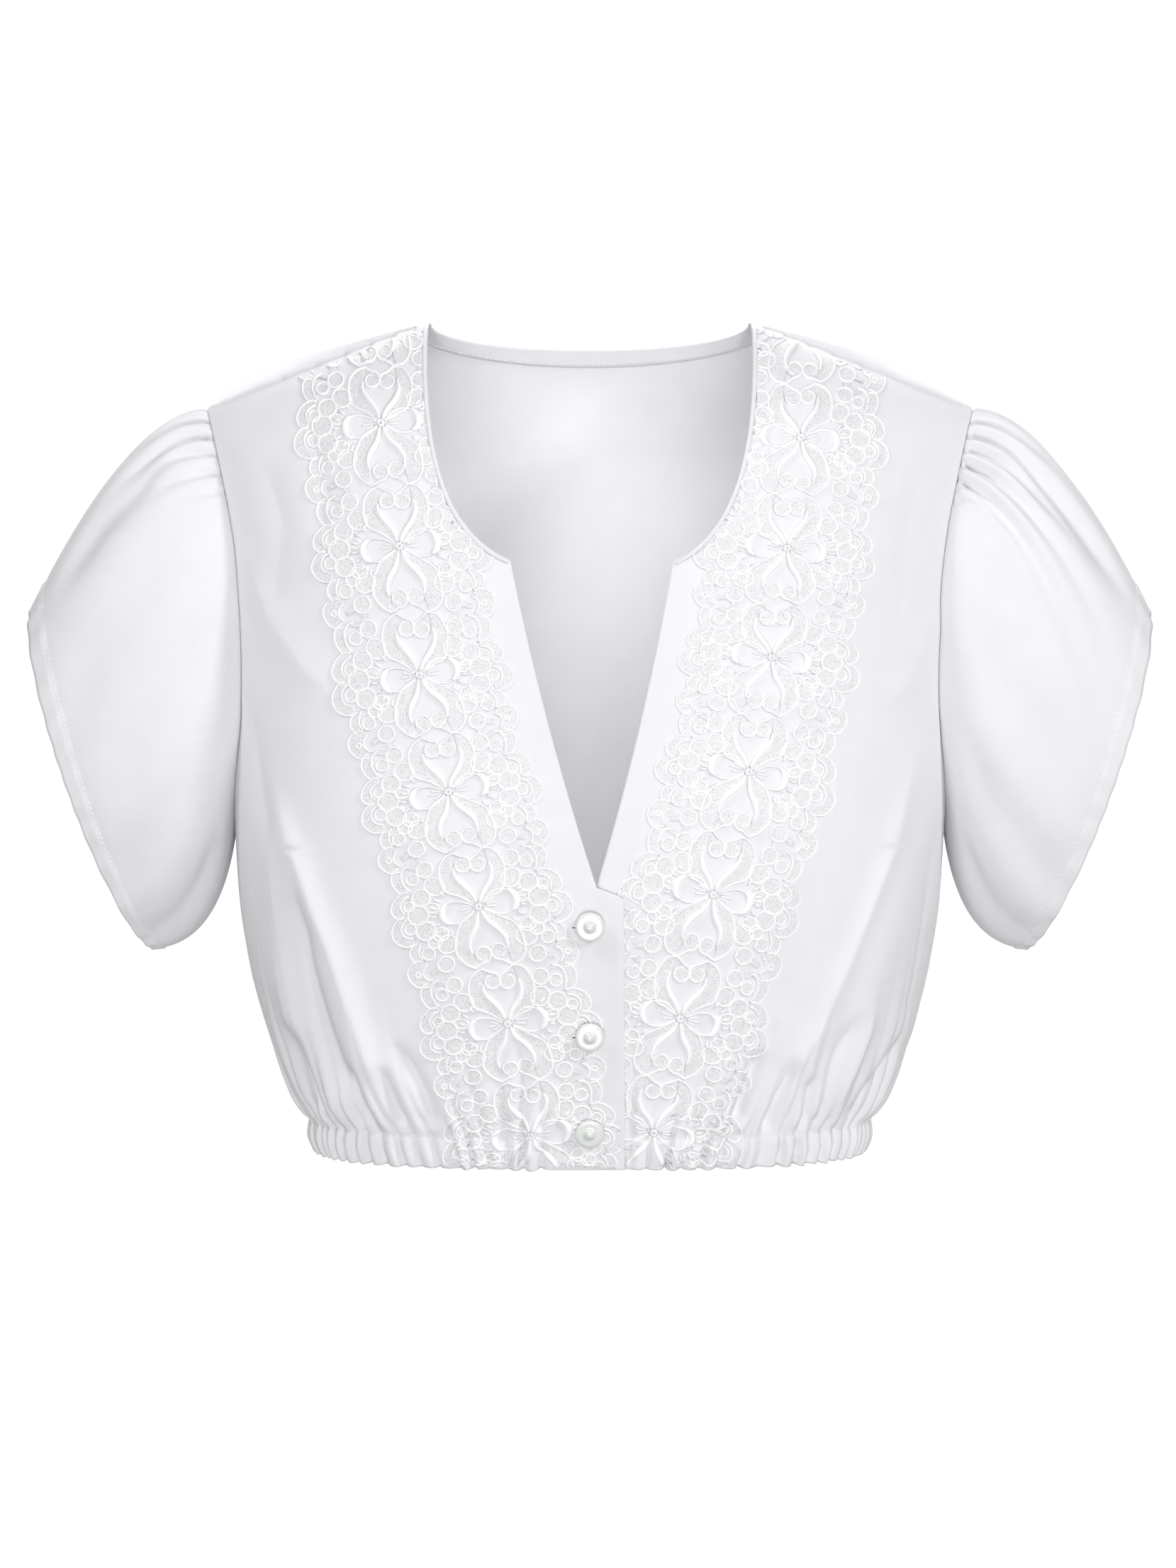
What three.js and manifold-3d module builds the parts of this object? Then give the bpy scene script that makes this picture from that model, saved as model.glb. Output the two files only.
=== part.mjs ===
// A short white dirndl blouse, worn form with no wearer, in millimetres.
// Frame: +Z up, the front faces -Y, the wearer's right sleeve is at -X. The origin is midway between the
// shoulder-neck points, where the wearer's shoulders carry the blouse. The hem hangs about 400 mm below it.
// Each panel is a wall of cloth laid over one body surface, which is a stack of rounded rings that closes over
// the shoulders. What lies on a panel is made from that panel's own points, moved outwards.

import * as THREE from "three";
import Module from "manifold-3d";

const wasm = await Module();
wasm.setup();

// Driving dimensions
const CLOTH = 1.2; // wall of one layer of cotton with its seam allowances
const SEAM_GAP = 0.3; // pieces stand this far apart where they are sewn together
const LACE_WALL = 1.0;
const LACE_LIFT = 0.4; // the lace's back stands this far off the cloth
const CASING_WALL = 1.8; // folded cloth with the elastic in it
const HEM_Z = -401;
const CASING_TOP_Z = -385;
const NECK_HALF_WIDTH = 77.8; // shoulder-neck point, from the middle
const SHOULDER = { x: 185.4, z: -42 }; // outer end of the shoulder seam
const UNDERARM_Z = -240;
const SQUARENESS = 2.6; // exponent of the body's rings: 2 is an ellipse
const SHOULDER_ROUND = { front: 115, back: 85 }; // height over which each face rounds over the shoulder
const OVERLAP_LIFT = 2.1; // the right front closes over the left one

// The body's rings: height, half width, and how far the front and the back stand from the side seams
const BODY_RINGS = [
  { z: 0, width: 190, front: 86, back: 90 },
  { z: -42, width: 189.5, front: 90, back: 96 },
  { z: -80, width: 183.5, front: 94, back: 101 },
  { z: -120, width: 178.2, front: 99, back: 105 },
  { z: -160, width: 175.2, front: 105, back: 107 },
  { z: -200, width: 173.4, front: 111, back: 106 },
  { z: -240, width: 172.1, front: 115.5, back: 103.5 },
  { z: -264, width: 171.0, front: 116, back: 102 },
  { z: -283, width: 169.5, front: 115, back: 100.5 },
  { z: -300, width: 167.0, front: 113, back: 99 },
  { z: -318, width: 163.5, front: 110.5, back: 97.5 },
  { z: -343, width: 156.3, front: 106, back: 95 },
  { z: -362, width: 149.0, front: 102.8, back: 93 },
  { z: -376, width: 141.7, front: 99.8, back: 90.5 },
  { z: -385, width: 135.5, front: 97.6, back: 87.5 },
  { z: -393, width: 134.5, front: 96, back: 86.5 },
  { z: -401, width: 131.5, front: 94.5, back: 84.5 },
];

// The armhole seam seen from the front: distance from the middle at each height
const ARMHOLE = [
  { z: -42, x: 185.4 },
  { z: -56, x: 181.5 },
  { z: -77, x: 176.5 },
  { z: -95, x: 172.5 },
  { z: -115, x: 169.3 },
  { z: -135, x: 167.5 },
  { z: -160, x: 166.8 },
  { z: -180, x: 167.0 },
  { z: -198, x: 168.3 },
  { z: -216, x: 170.3 },
  { z: -230, x: 171.7 },
  { z: -240, x: 172.1 },
];

// Soft ridges that rise from the gathered hem and lean outwards: ring angle at the casing, angle and height
// where the ridge dies out, how far it stands proud, and its half width
const FRONT_FOLDS = {
  right: [
    { from: 29.5, to: 34.5, top: -338, rise: 2.6, spread: 3.6 },
    { from: 38.5, to: 49, top: -262, rise: 4.0, spread: 3.6 },
    { from: 49, to: 58, top: -298, rise: 3.4, spread: 3.6 },
    { from: 60, to: 69, top: -322, rise: 2.8, spread: 3.6 },
    { from: 71.5, to: 78, top: -345, rise: 2.0, spread: 3.6 },
  ],
  left: [
    { from: 32, to: 38, top: -330, rise: 2.4, spread: 3.6 },
    { from: 43, to: 54, top: -246, rise: 3.8, spread: 3.6 },
    { from: 54, to: 62, top: -310, rise: 3.0, spread: 3.6 },
    { from: 65, to: 73, top: -318, rise: 2.8, spread: 3.6 },
    { from: 75.5, to: 80, top: -350, rise: 2.0, spread: 3.4 },
  ],
};
const BACK_FOLDS = [
  { from: -66, to: -72, top: -318, rise: 2.8, spread: 4.6 },
  { from: -48, to: -53, top: -290, rise: 3.6, spread: 4.8 },
  { from: -31, to: -33, top: -325, rise: 3.0, spread: 4.6 },
  { from: -14, to: -16, top: -300, rise: 3.2, spread: 4.8 },
  { from: 3, to: 3, top: -335, rise: 2.6, spread: 4.6 },
  { from: 19, to: 21, top: -285, rise: 3.6, spread: 4.8 },
  { from: 37, to: 40, top: -320, rise: 3.0, spread: 4.6 },
  { from: 54, to: 60, top: -296, rise: 3.4, spread: 4.8 },
  { from: 71, to: 76, top: -330, rise: 2.6, spread: 4.6 },
];

// Gathers drawn up on the elastic: how many on each piece, and how far they stand in and out
const CASING_GATHERS = { front: 22, back: 42 };
const CASING_GATHER_DEPTH = 0.95;

// Gathers at the sleeve's crown, as troughs: place round the armhole as a share of it (0 is the shoulder,
// positive towards the front), depth, and how far down the sleeve each one reaches
const CROWN_GATHERS = [
  { at: -0.142, depth: 1.9, reach: 0.4 },
  { at: -0.113, depth: 2.8, reach: 0.62 },
  { at: -0.084, depth: 2.2, reach: 0.38 },
  { at: -0.056, depth: 3.0, reach: 0.55 },
  { at: -0.028, depth: 2.1, reach: 0.36 },
  { at: 0.001, depth: 2.4, reach: 0.46 },
  { at: 0.03, depth: 2.2, reach: 0.4 },
  { at: 0.059, depth: 3.2, reach: 0.72 },
  { at: 0.088, depth: 2.2, reach: 0.38 },
  { at: 0.117, depth: 3.1, reach: 0.66 },
  { at: 0.146, depth: 2.0, reach: 0.42 },
];
const GATHER_HALF_WIDTH = 0.0085;

// The sleeve's open hem is an oval, and each thread of the sleeve runs to it from the armhole in one bend.
// Both ovals: middle, the half axis that points up, and the half axis that points to the front
const SLEEVE_HEM = { middle: [240.5, 3, -221], up: [28.4, -2, 83.6], forward: [11, -46, 0] };
const SLEEVE_BEND = { middle: [200, 2, -171], up: [22, 0, 131], forward: [7, -74, 0] };
const SLEEVE_HEM_WALL = 2.0; // the turned hem is thicker, towards the inside
const SLEEVE_ROWS = [0, 0.06, 0.14, 0.25, 0.38, 0.54, 0.72, 0.92, 1];

// Lace lies on each front from the shoulder to the hem. Its flowers, and the edges on the far side from the
// neck and on the near side below the neck corner: distance from the middle and height
const LACE_FLOWERS = {
  right: [
    { x: 98.6, z: -50 },
    { x: 89.2, z: -107.9 },
    { x: 79.6, z: -168 },
    { x: 65.9, z: -222.1 },
    { x: 51.8, z: -275.5 },
    { x: 38.4, z: -330.7 },
  ],
  left: [
    { x: 99.4, z: -57 },
    { x: 92.2, z: -109 },
    { x: 85.0, z: -160 },
    { x: 74.1, z: -213 },
    { x: 57.5, z: -270 },
    { x: 42.3, z: -328.4 },
  ],
};
const LACE_OUTER_EDGE = {
  right: [
    { x: 148, z: -20 },
    { x: 145.2, z: -34 },
    { x: 141.4, z: -51.4 },
    { x: 139.7, z: -66.5 },
    { x: 132.9, z: -79.7 },
    { x: 132.7, z: -92 },
    { x: 127.4, z: -105.6 },
    { x: 128.6, z: -121 },
    { x: 120.8, z: -135.1 },
    { x: 123.0, z: -148 },
    { x: 118.6, z: -164.6 },
    { x: 120.8, z: -179.3 },
    { x: 112.6, z: -193.8 },
    { x: 114.0, z: -206.6 },
    { x: 110.0, z: -223 },
    { x: 103.5, z: -237.5 },
    { x: 101.0, z: -252 },
    { x: 95.4, z: -270.3 },
    { x: 92.0, z: -290 },
    { x: 84.6, z: -307 },
    { x: 82.8, z: -322 },
    { x: 78.6, z: -340.4 },
    { x: 73.8, z: -357 },
    { x: 68.0, z: -374 },
    { x: 64.5, z: -389.1 },
    { x: 61.2, z: -404 },
  ],
  left: [
    { x: 134, z: -15 },
    { x: 133.5, z: -26.4 },
    { x: 142.7, z: -38 },
    { x: 145.3, z: -57.1 },
    { x: 141.5, z: -74 },
    { x: 136.7, z: -90.8 },
    { x: 135.5, z: -109.4 },
    { x: 130.4, z: -124 },
    { x: 130.0, z: -138 },
    { x: 125.0, z: -155 },
    { x: 125.0, z: -172 },
    { x: 117.5, z: -187 },
    { x: 117.5, z: -201.2 },
    { x: 113.0, z: -223.1 },
    { x: 109.0, z: -240 },
    { x: 101.8, z: -255.7 },
    { x: 99.0, z: -272 },
    { x: 91.0, z: -292.3 },
    { x: 87.0, z: -310 },
    { x: 78.0, z: -329.2 },
    { x: 75.6, z: -344.1 },
    { x: 69.0, z: -362.7 },
    { x: 68.0, z: -377.8 },
    { x: 63.6, z: -387.2 },
    { x: 61.1, z: -404 },
  ],
};
const LACE_INNER_EDGE = {
  right: [
    { x: -3.7, z: -404 },
    { x: -4.3, z: -386.8 },
    { x: -12.6, z: -378.6 },
    { x: -13.6, z: -368 },
    { x: -9.0, z: -360 },
    { x: -9.9, z: -348 },
    { x: -7.5, z: -337 },
    { x: -7.9, z: -325.9 },
    { x: -4.6, z: -311 },
    { x: 4.6, z: -303.8 },
    { x: 9.2, z: -290 },
    { x: 9.0, z: -272 },
    { x: 13.6, z: -258 },
    { x: 14.6, z: -244 },
    { x: 20.4, z: -229.5 },
    { x: 22.7, z: -211.4 },
    { x: 28.0, z: -193 },
    { x: 33.0, z: -172 },
    { x: 38.4, z: -154 },
    { x: 43.0, z: -136 },
    { x: 43.6, z: -121 },
    { x: 45.0, z: -113.5 },
    { x: 41.5, z: -104 },
  ],
  left: [
    { x: 17.4, z: -404 },
    { x: 17.4, z: -275 },
    { x: 16.0, z: -262 },
    { x: 18.4, z: -247.7 },
    { x: 25.6, z: -229.5 },
    { x: 27.6, z: -214 },
    { x: 33.0, z: -196.9 },
    { x: 35.8, z: -178 },
    { x: 41.0, z: -160.5 },
    { x: 42.0, z: -142.2 },
    { x: 44.6, z: -124 },
    { x: 45.4, z: -114.5 },
    { x: 41.5, z: -104 },
  ],
};
// The largest gaps of each repeat, from its flower: outwards across the band and up along it, and their size
const LACE_GAPS = [
  { out: 0, up: 14, wide: 11, tall: 13, corners: 4 },
  { out: 0, up: -16.5, wide: 12, tall: 16, corners: 4 },
  { out: 20, up: -28, wide: 7, tall: 18, corners: 6 },
  { out: -20, up: -28, wide: 6.5, tall: 15, corners: 6 },
  { out: 28, up: 13, wide: 6, tall: 8, corners: 4 },
];

const BUTTON_HEIGHTS = { top: -284.2, middle: -336, bottom: -382 };
const BUTTON_SHANK_RADIUS = 1.5;
// The button's outline from the back: radius, and distance from the cloth
const BUTTON_PROFILE = [
  { r: 0, h: 0.3 },
  { r: BUTTON_SHANK_RADIUS, h: 0.3 },
  { r: BUTTON_SHANK_RADIUS, h: 1.7 },
  { r: 5.8, h: 1.7 },
  { r: 7.0, h: 2.4 },
  { r: 7.0, h: 3.1 },
  { r: 6.3, h: 3.6 },
  { r: 5.0, h: 3.3 },
  { r: 2.1, h: 3.2 },
  { r: 1.8, h: 4.3 },
  { r: 1.0, h: 4.9 },
  { r: 0, h: 5.0 },
];

const DEGREE = Math.PI / 180;
const lerp = THREE.MathUtils.lerp;
const clamp = THREE.MathUtils.clamp;
const smooth = (t) => THREE.MathUtils.smoothstep(t, 0, 1);

// A smooth curve through one column of a table, read by another column
function curveThrough(rows, key, value) {
  const sorted = [...rows].sort((a, b) => a[key] - b[key]);
  const k = sorted.map((r) => r[key]);
  const v = sorted.map((r) => r[value]);
  const last = k.length - 1;
  const slope = v.map((_, i) => {
    const a = Math.max(i - 1, 0);
    const b = Math.min(i + 1, last);
    return (v[b] - v[a]) / (k[b] - k[a]);
  });
  return (at) => {
    const q = clamp(at, k[0], k[last]);
    let i = 0;
    while (i < last - 1 && q > k[i + 1]) i += 1;
    const h = k[i + 1] - k[i];
    const t = (q - k[i]) / h;
    const bend = (1 - t) * (1 - t) * t * h * slope[i] - (1 - t) * t * t * h * slope[i + 1];
    return v[i] * (1 + 2 * t) * (1 - t) * (1 - t) + v[i + 1] * t * t * (3 - 2 * t) + bend;
  };
}

const ringWidth = curveThrough(BODY_RINGS, "z", "width");
const ringFront = curveThrough(BODY_RINGS, "z", "front");
const ringBack = curveThrough(BODY_RINGS, "z", "back");
const armholeX = curveThrough(ARMHOLE, "z", "x");

// Height of the shoulder seam at a distance from the middle; inside the neck the line rounds off level
function shoulderHeight(x) {
  const slope = SHOULDER.z / (SHOULDER.x - NECK_HALF_WIDTH);
  if (x >= NECK_HALF_WIDTH) return slope * (x - NECK_HALF_WIDTH);
  return (slope / (2 * NECK_HALF_WIDTH)) * (x * x - NECK_HALF_WIDTH ** 2);
}

// A point of the body surface. angle is 0 at the middle of that face and 90 degrees at the side seam
function bodyPoint(side, face, angle, z) {
  const s = Math.sin(angle);
  const c = Math.cos(angle);
  const reach = Math.pow(Math.abs(s) ** SQUARENESS + Math.abs(c) ** SQUARENESS, -1 / SQUARENESS);
  const x = ringWidth(z) * s * reach;
  const front = face < 0;
  const round = front ? SHOULDER_ROUND.front : SHOULDER_ROUND.back;
  const below = clamp((shoulderHeight(Math.abs(x)) - z) / round, 0, 1);
  const over = Math.sqrt(1 - (1 - below) ** 2);
  const depth = (front ? ringFront(z) : ringBack(z)) * c * reach * over;
  return new THREE.Vector3(side * x, face * depth, z);
}

// The ring angle of a point that lies x from the middle
function angleAt(x, z) {
  const share = clamp(x / ringWidth(z), -1, 1);
  const rest = Math.pow(1 - Math.abs(share) ** SQUARENESS, 1 / SQUARENESS);
  return Math.atan2(share, rest);
}

// How far the soft ridges lift the cloth at a ring angle in degrees
function foldRise(folds, degrees, z) {
  let rise = 0;
  for (const fold of folds) {
    const up = (z - CASING_TOP_Z) / (fold.top - CASING_TOP_Z);
    if (up >= 1) continue;
    const along = Math.max(up, 0);
    const away = (degrees - lerp(fold.from, fold.to, along)) / (fold.spread * (1 + 0.5 * along));
    const swell = 0.2 + 0.8 * smooth((z - CASING_TOP_Z) / 14);
    rise += fold.rise * Math.exp(-away * away) * (1 - along) ** 0.8 * swell;
  }
  return rise;
}

// Outward directions of a grid of points; wrap says that the last column runs into the first
function gridNormals(grid, wrap) {
  const rows = grid.length;
  const columns = grid[0].length;
  const pick = (j, i) => {
    const row = clamp(j, 0, rows - 1);
    return grid[row][wrap ? (i + columns) % columns : clamp(i, 0, columns - 1)];
  };
  return grid.map((line, j) =>
    line.map((_, i) => {
      const across = pick(j, i + 1).clone().sub(pick(j, i - 1));
      const along = pick(j + 1, i).clone().sub(pick(j - 1, i));
      return across.cross(along).normalize();
    }),
  );
}

const moved = (grid, normals, distance) =>
  grid.map((line, j) =>
    line.map((p, i) => p.clone().addScaledVector(normals[j][i], distance(j, i))),
  );

// A closed wall between an outer and an inner grid; turned swaps the faces of a mirrored grid
function wallGeometry(outer, inner, wrap, turned) {
  const rows = outer.length;
  const columns = outer[0].length;
  const position = [];
  for (const grid of [outer, inner]) {
    for (const line of grid) for (const p of line) position.push(p.x, p.y, p.z);
  }
  const at = (layer, j, i) => layer * rows * columns + j * columns + (wrap ? i % columns : i);
  const index = [];
  const quad = (a, b, c, d) => {
    if (turned) index.push(a, c, b, a, d, c);
    else index.push(a, b, c, a, c, d);
  };
  const steps = wrap ? columns : columns - 1;
  for (let j = 0; j < rows - 1; j++) {
    for (let i = 0; i < steps; i++) {
      quad(at(0, j, i), at(0, j, i + 1), at(0, j + 1, i + 1), at(0, j + 1, i));
      quad(at(1, j, i), at(1, j + 1, i), at(1, j + 1, i + 1), at(1, j, i + 1));
    }
  }
  for (let i = 0; i < steps; i++) {
    quad(at(0, 0, i), at(1, 0, i), at(1, 0, i + 1), at(0, 0, i + 1));
    const top = rows - 1;
    quad(at(0, top, i), at(0, top, i + 1), at(1, top, i + 1), at(1, top, i));
  }
  if (!wrap) {
    for (let j = 0; j < rows - 1; j++) {
      quad(at(0, j, 0), at(0, j + 1, 0), at(1, j + 1, 0), at(1, j, 0));
      const end = columns - 1;
      quad(at(0, j, end), at(1, j, end), at(1, j + 1, end), at(0, j + 1, end));
    }
  }
  const geometry = new THREE.BufferGeometry();
  geometry.setAttribute("position", new THREE.Float32BufferAttribute(position, 3));
  geometry.setIndex(index);
  return geometry;
}

const group = new THREE.Group();
const WHITE = 0xf1f0f4;

function add(name, geometry, colour = WHITE, roughness = 0.85) {
  const material = new THREE.MeshStandardMaterial({ color: colour, roughness, metalness: 0 });
  const mesh = new THREE.Mesh(geometry, material);
  mesh.name = name;
  group.add(mesh);
  return mesh;
}

// Seam edges are drawn back from each other by half the seam gap on each side
const seamAngle = (z, depth) => Math.PI / 2 - (SEAM_GAP / 2 + 0.05) / depth(z);

// Fronts. Each front's inner edge runs up its button stand, the V and the neck curve. x is positive on the
// panel's own side of the middle, and the stand reaches past the middle.
const FRONT_EDGES = {
  right: {
    foot: { x: -16.2, z: CASING_TOP_Z },
    bend: { x: -15.0, z: -274 },
    vee: { x: -3.2, z: -266.5 },
    corner: { x: 37.2, z: -114.5 },
  },
  left: {
    foot: { x: -15.5, z: CASING_TOP_Z },
    bend: { x: -15.5, z: -345 },
    vee: { x: 3.4, z: -265 },
    corner: { x: 38.8, z: -115.2 },
  },
};
const VEE_BOW = 2.4; // the V's edges bow towards each other
const FLAT_STAND = { right: 20, left: 17 }; // the stand stays flat down to the hem as far as this
const FLAT_STEP = 1.6; // width over which the bottom edge steps up to the casing's seam
const STAND_RUN_IN = -350; // below this height the stand's rows stretch down to the hem
const FRONT_ROWS = { below: 7, vee: 6, neck: 7 };
const FRONT_COLUMNS = 16;

// The inner and outer edge points of each row of a front, from the casing up
function frontEdgeRows(name) {
  const { foot, bend, vee, corner } = FRONT_EDGES[name];
  const rows = [];
  const push = (x, z, outerZ) => rows.push({ x, z, outerZ });
  const last = FRONT_ROWS.below - 1;
  for (let j = 0; j <= last; j++) {
    const z = lerp(foot.z, name === "right" ? bend.z : vee.z - 9, j / last);
    const x = z <= bend.z + 0.001 ? lerp(foot.x, bend.x, (z - foot.z) / (bend.z - foot.z))
      : lerp(bend.x, vee.x, (z - bend.z) / (vee.z - bend.z));
    push(x, z, lerp(CASING_TOP_Z, UNDERARM_Z, j / FRONT_ROWS.below));
  }
  for (let j = 0; j <= FRONT_ROWS.vee; j++) {
    const t = j / FRONT_ROWS.vee;
    const x = lerp(vee.x, corner.x, t) + VEE_BOW * 4 * t * (1 - t);
    push(x, lerp(vee.z, corner.z, t), lerp(UNDERARM_Z, -132, t));
  }
  const neck = new THREE.CubicBezierCurve(
    new THREE.Vector2(corner.x, corner.z),
    new THREE.Vector2(69, -100),
    new THREE.Vector2(77.5, -62),
    new THREE.Vector2(NECK_HALF_WIDTH, 0),
  );
  for (let j = 1; j <= FRONT_ROWS.neck; j++) {
    const t = j / FRONT_ROWS.neck;
    const p = neck.getPoint(1 - (1 - t) ** 1.4);
    push(p.x, p.y, lerp(-132, SHOULDER.z, 1 - (1 - t) ** 1.6));
  }
  return rows;
}

// Ring angle of the outer edge at a height: the side seam below the underarm, the armhole above it
function outerAngle(z, depth) {
  const seam = seamAngle(z, depth);
  return z < UNDERARM_Z ? seam : Math.min(angleAt(armholeX(z), z), seam);
}

// Where the columns of a front stand at the casing, in shares of the way from the inner to the outer edge
function frontShares(name) {
  const stand = FLAT_STAND[name];
  const z = CASING_TOP_Z;
  const start = angleAt(FRONT_EDGES[name].foot.x, z);
  const end = seamAngle(z, ringFront);
  const share = (x) => (angleAt(x, z) - start) / (end - start);
  const shares = [0, share(2), share(stand - 0.2), share(stand + FLAT_STEP)];
  const from = shares[shares.length - 1];
  for (let i = 1; i <= FRONT_COLUMNS; i++) shares.push(lerp(from, 1, i / FRONT_COLUMNS));
  return shares;
}

function frontGrid(name) {
  const side = name === "right" ? -1 : 1;
  const shares = frontShares(name);
  const stand = FLAT_STAND[name];
  const rows = frontEdgeRows(name);
  return rows.map((row, j) => {
    const from = angleAt(row.x, row.z);
    const outerZ = j === 0 ? CASING_TOP_Z + SEAM_GAP : row.outerZ;
    const to = outerAngle(outerZ, ringFront);
    return shares.map((share) => {
      const angle = lerp(from, to, share);
      let z = lerp(j === 0 ? row.z + SEAM_GAP : row.z, outerZ, share);
      const own = Math.abs(bodyPoint(1, -1, angle, z).x) * Math.sign(angle);
      if (own < stand && z < STAND_RUN_IN) {
        const stretch = (STAND_RUN_IN - HEM_Z) / (STAND_RUN_IN - CASING_TOP_Z - SEAM_GAP);
        z = STAND_RUN_IN - (STAND_RUN_IN - z) * stretch;
      }
      const point = bodyPoint(side, -1, angle, z);
      if (j === rows.length - 1) point.y = -(SEAM_GAP / 2 + 0.05);
      return { point, angle: angle / DEGREE, z, own };
    });
  });
}

// Grid normals that point out of the garment, and lie across the shoulder seam where the grid reaches it
function outwardNormals(grid, mirrored, shoulderFrom = 0) {
  const normals = gridNormals(grid, false);
  for (const line of normals) for (const n of line) if (mirrored) n.negate();
  const top = grid[grid.length - 1];
  normals[normals.length - 1].forEach((n, i) => {
    if (Math.abs(top[i].x) < shoulderFrom) return;
    n.y = 0;
    n.normalize();
  });
  return normals;
}

// The cloth of a front, with its folds, and the lift that takes the right button stand over the left one
function liftedFront(name) {
  const made = frontGrid(name);
  const flat = made.map((line) => line.map((q) => q.point));
  const normals = outwardNormals(flat, name === "right");
  const folds = FRONT_FOLDS[name];
  return moved(flat, normals, (j, i) => {
    const q = made[j][i];
    const fold = foldRise(folds, q.angle, q.z) * smooth((q.own - FLAT_STAND[name]) / 22);
    if (name === "left") return fold;
    const closing = smooth((36 - q.own) / 20) * smooth((-205 - q.z) / 50);
    return fold + OVERLAP_LIFT * closing;
  });
}

const fronts = {};
for (const name of ["right", "left"]) {
  const mirrored = name === "right";
  const outer = liftedFront(name);
  const normals = outwardNormals(outer, mirrored);
  fronts[name] = { outer, normals, mirrored };
  const inner = moved(outer, normals, () => -CLOTH);
  add("front_" + name, wallGeometry(outer, inner, false, mirrored));
}

// Back: one panel from side seam to side seam. Its top edge is the two shoulder seams and a shallow neck, and
// the row under it follows the lower edge of the neck binding.
const BACK_NECK_Z = -11;
const BINDING_WIDTH = 9;
const BACK_ROWS = { below: 6, above: 6 };
const BACK_COLUMNS = { shoulder: 6, neck: 14 };

function backNeckZ(x) {
  const share = clamp(Math.abs(x) / NECK_HALF_WIDTH, 0, 1);
  return BACK_NECK_Z * Math.sqrt(1 - share ** 2.2);
}

// Height of the back's surface above a point of the plan
function backHeight(x, y) {
  let high = shoulderHeight(Math.abs(x));
  let low = high - SHOULDER_ROUND.back;
  for (let k = 0; k < 40; k++) {
    const z = (high + low) / 2;
    if (bodyPoint(1, 1, angleAt(x, z), z).y < y) high = z;
    else low = z;
  }
  return (high + low) / 2;
}

// The places of the back's columns along its top edge, even along each shoulder and round the neck
function backTopPoints() {
  const at = (x) => {
    const z = Math.abs(x) >= NECK_HALF_WIDTH - 0.01 ? shoulderHeight(Math.abs(x)) : backNeckZ(x);
    const angle = angleAt(x, z);
    return { x, z, angle, point: bodyPoint(1, 1, angle, z) };
  };
  const { shoulder, neck } = BACK_COLUMNS;
  const curve = new THREE.CatmullRomCurve3(
    Array.from({ length: 61 }, (_, i) => at(NECK_HALF_WIDTH * Math.sin(((i / 30 - 1) * Math.PI) / 2)).point),
  );
  const xs = [];
  for (let i = 0; i < shoulder; i++) xs.push(-lerp(SHOULDER.x, NECK_HALF_WIDTH, i / shoulder));
  xs.push(-NECK_HALF_WIDTH);
  for (let i = 1; i < neck; i++) xs.push(curve.getPointAt(i / neck).x);
  xs.push(NECK_HALF_WIDTH);
  for (let i = 1; i <= shoulder; i++) xs.push(lerp(NECK_HALF_WIDTH, SHOULDER.x, i / shoulder));
  return xs.map(at);
}

function backGrid() {
  const top = backTopPoints();
  const last = top.length - 1;
  const grid = [];
  const edgeAtTop = top[last].angle;
  const line = (z, rise) => {
    const edge = outerAngle(z, ringBack);
    return top.map((q, i) => {
      const even = (2 * i) / last - 1;
      const share = lerp(even, q.angle / edgeAtTop, rise ** 8);
      const height = rise > 0 ? lerp(UNDERARM_Z, q.z - 6, rise) : z;
      const own = i === 0 || i === last ? z : height;
      return { point: bodyPoint(1, 1, share * edge, own), angle: (share * edge) / DEGREE, z: own };
    });
  };
  for (let j = 0; j <= BACK_ROWS.below; j++) {
    const z = lerp(CASING_TOP_Z + SEAM_GAP, UNDERARM_Z, j / BACK_ROWS.below);
    grid.push(line(z, 0));
  }
  for (let j = 1; j < BACK_ROWS.above; j++) {
    const rise = 1 - (1 - j / BACK_ROWS.above) ** 1.5;
    grid.push(line(lerp(UNDERARM_Z, SHOULDER.z, rise), rise));
  }
  grid.push(top.map((q, i) => {
    let { x, y } = q.point;
    if (i === 0 || i === last) {
      const z = SHOULDER.z - 3.5;
      return { point: bodyPoint(1, 1, Math.sign(x) * outerAngle(z, ringBack), z), angle: 0, z };
    }
    const corner = Math.abs(Math.abs(x) - NECK_HALF_WIDTH) < 0.01;
    if (corner) {
      x += Math.sign(x) * BINDING_WIDTH * 1.12;
      y += BINDING_WIDTH * 0.3;
    } else if (Math.abs(x) > NECK_HALF_WIDTH) y = BINDING_WIDTH;
    else {
      const before = top[i - 1].point;
      const after = top[i + 1].point;
      const across = new THREE.Vector2(before.y - after.y, after.x - before.x).normalize();
      const lean = clamp(1 - q.point.y / 30, 0, 1) * 4; // columns near the shoulder fan out
      x += across.x * BINDING_WIDTH - Math.sign(x) * lean * 0.25;
      y += across.y * BINDING_WIDTH + lean;
    }
    const z = backHeight(x, y);
    return { point: new THREE.Vector3(x, y, z), angle: 0, z };
  }));
  grid.push(top.map((q) => {
    const point = q.point.clone();
    if (Math.abs(q.x) >= NECK_HALF_WIDTH - 0.01) point.y = SEAM_GAP / 2 + 0.05;
    return { point, angle: 0, z: q.z };
  }));
  return grid;
}

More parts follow.
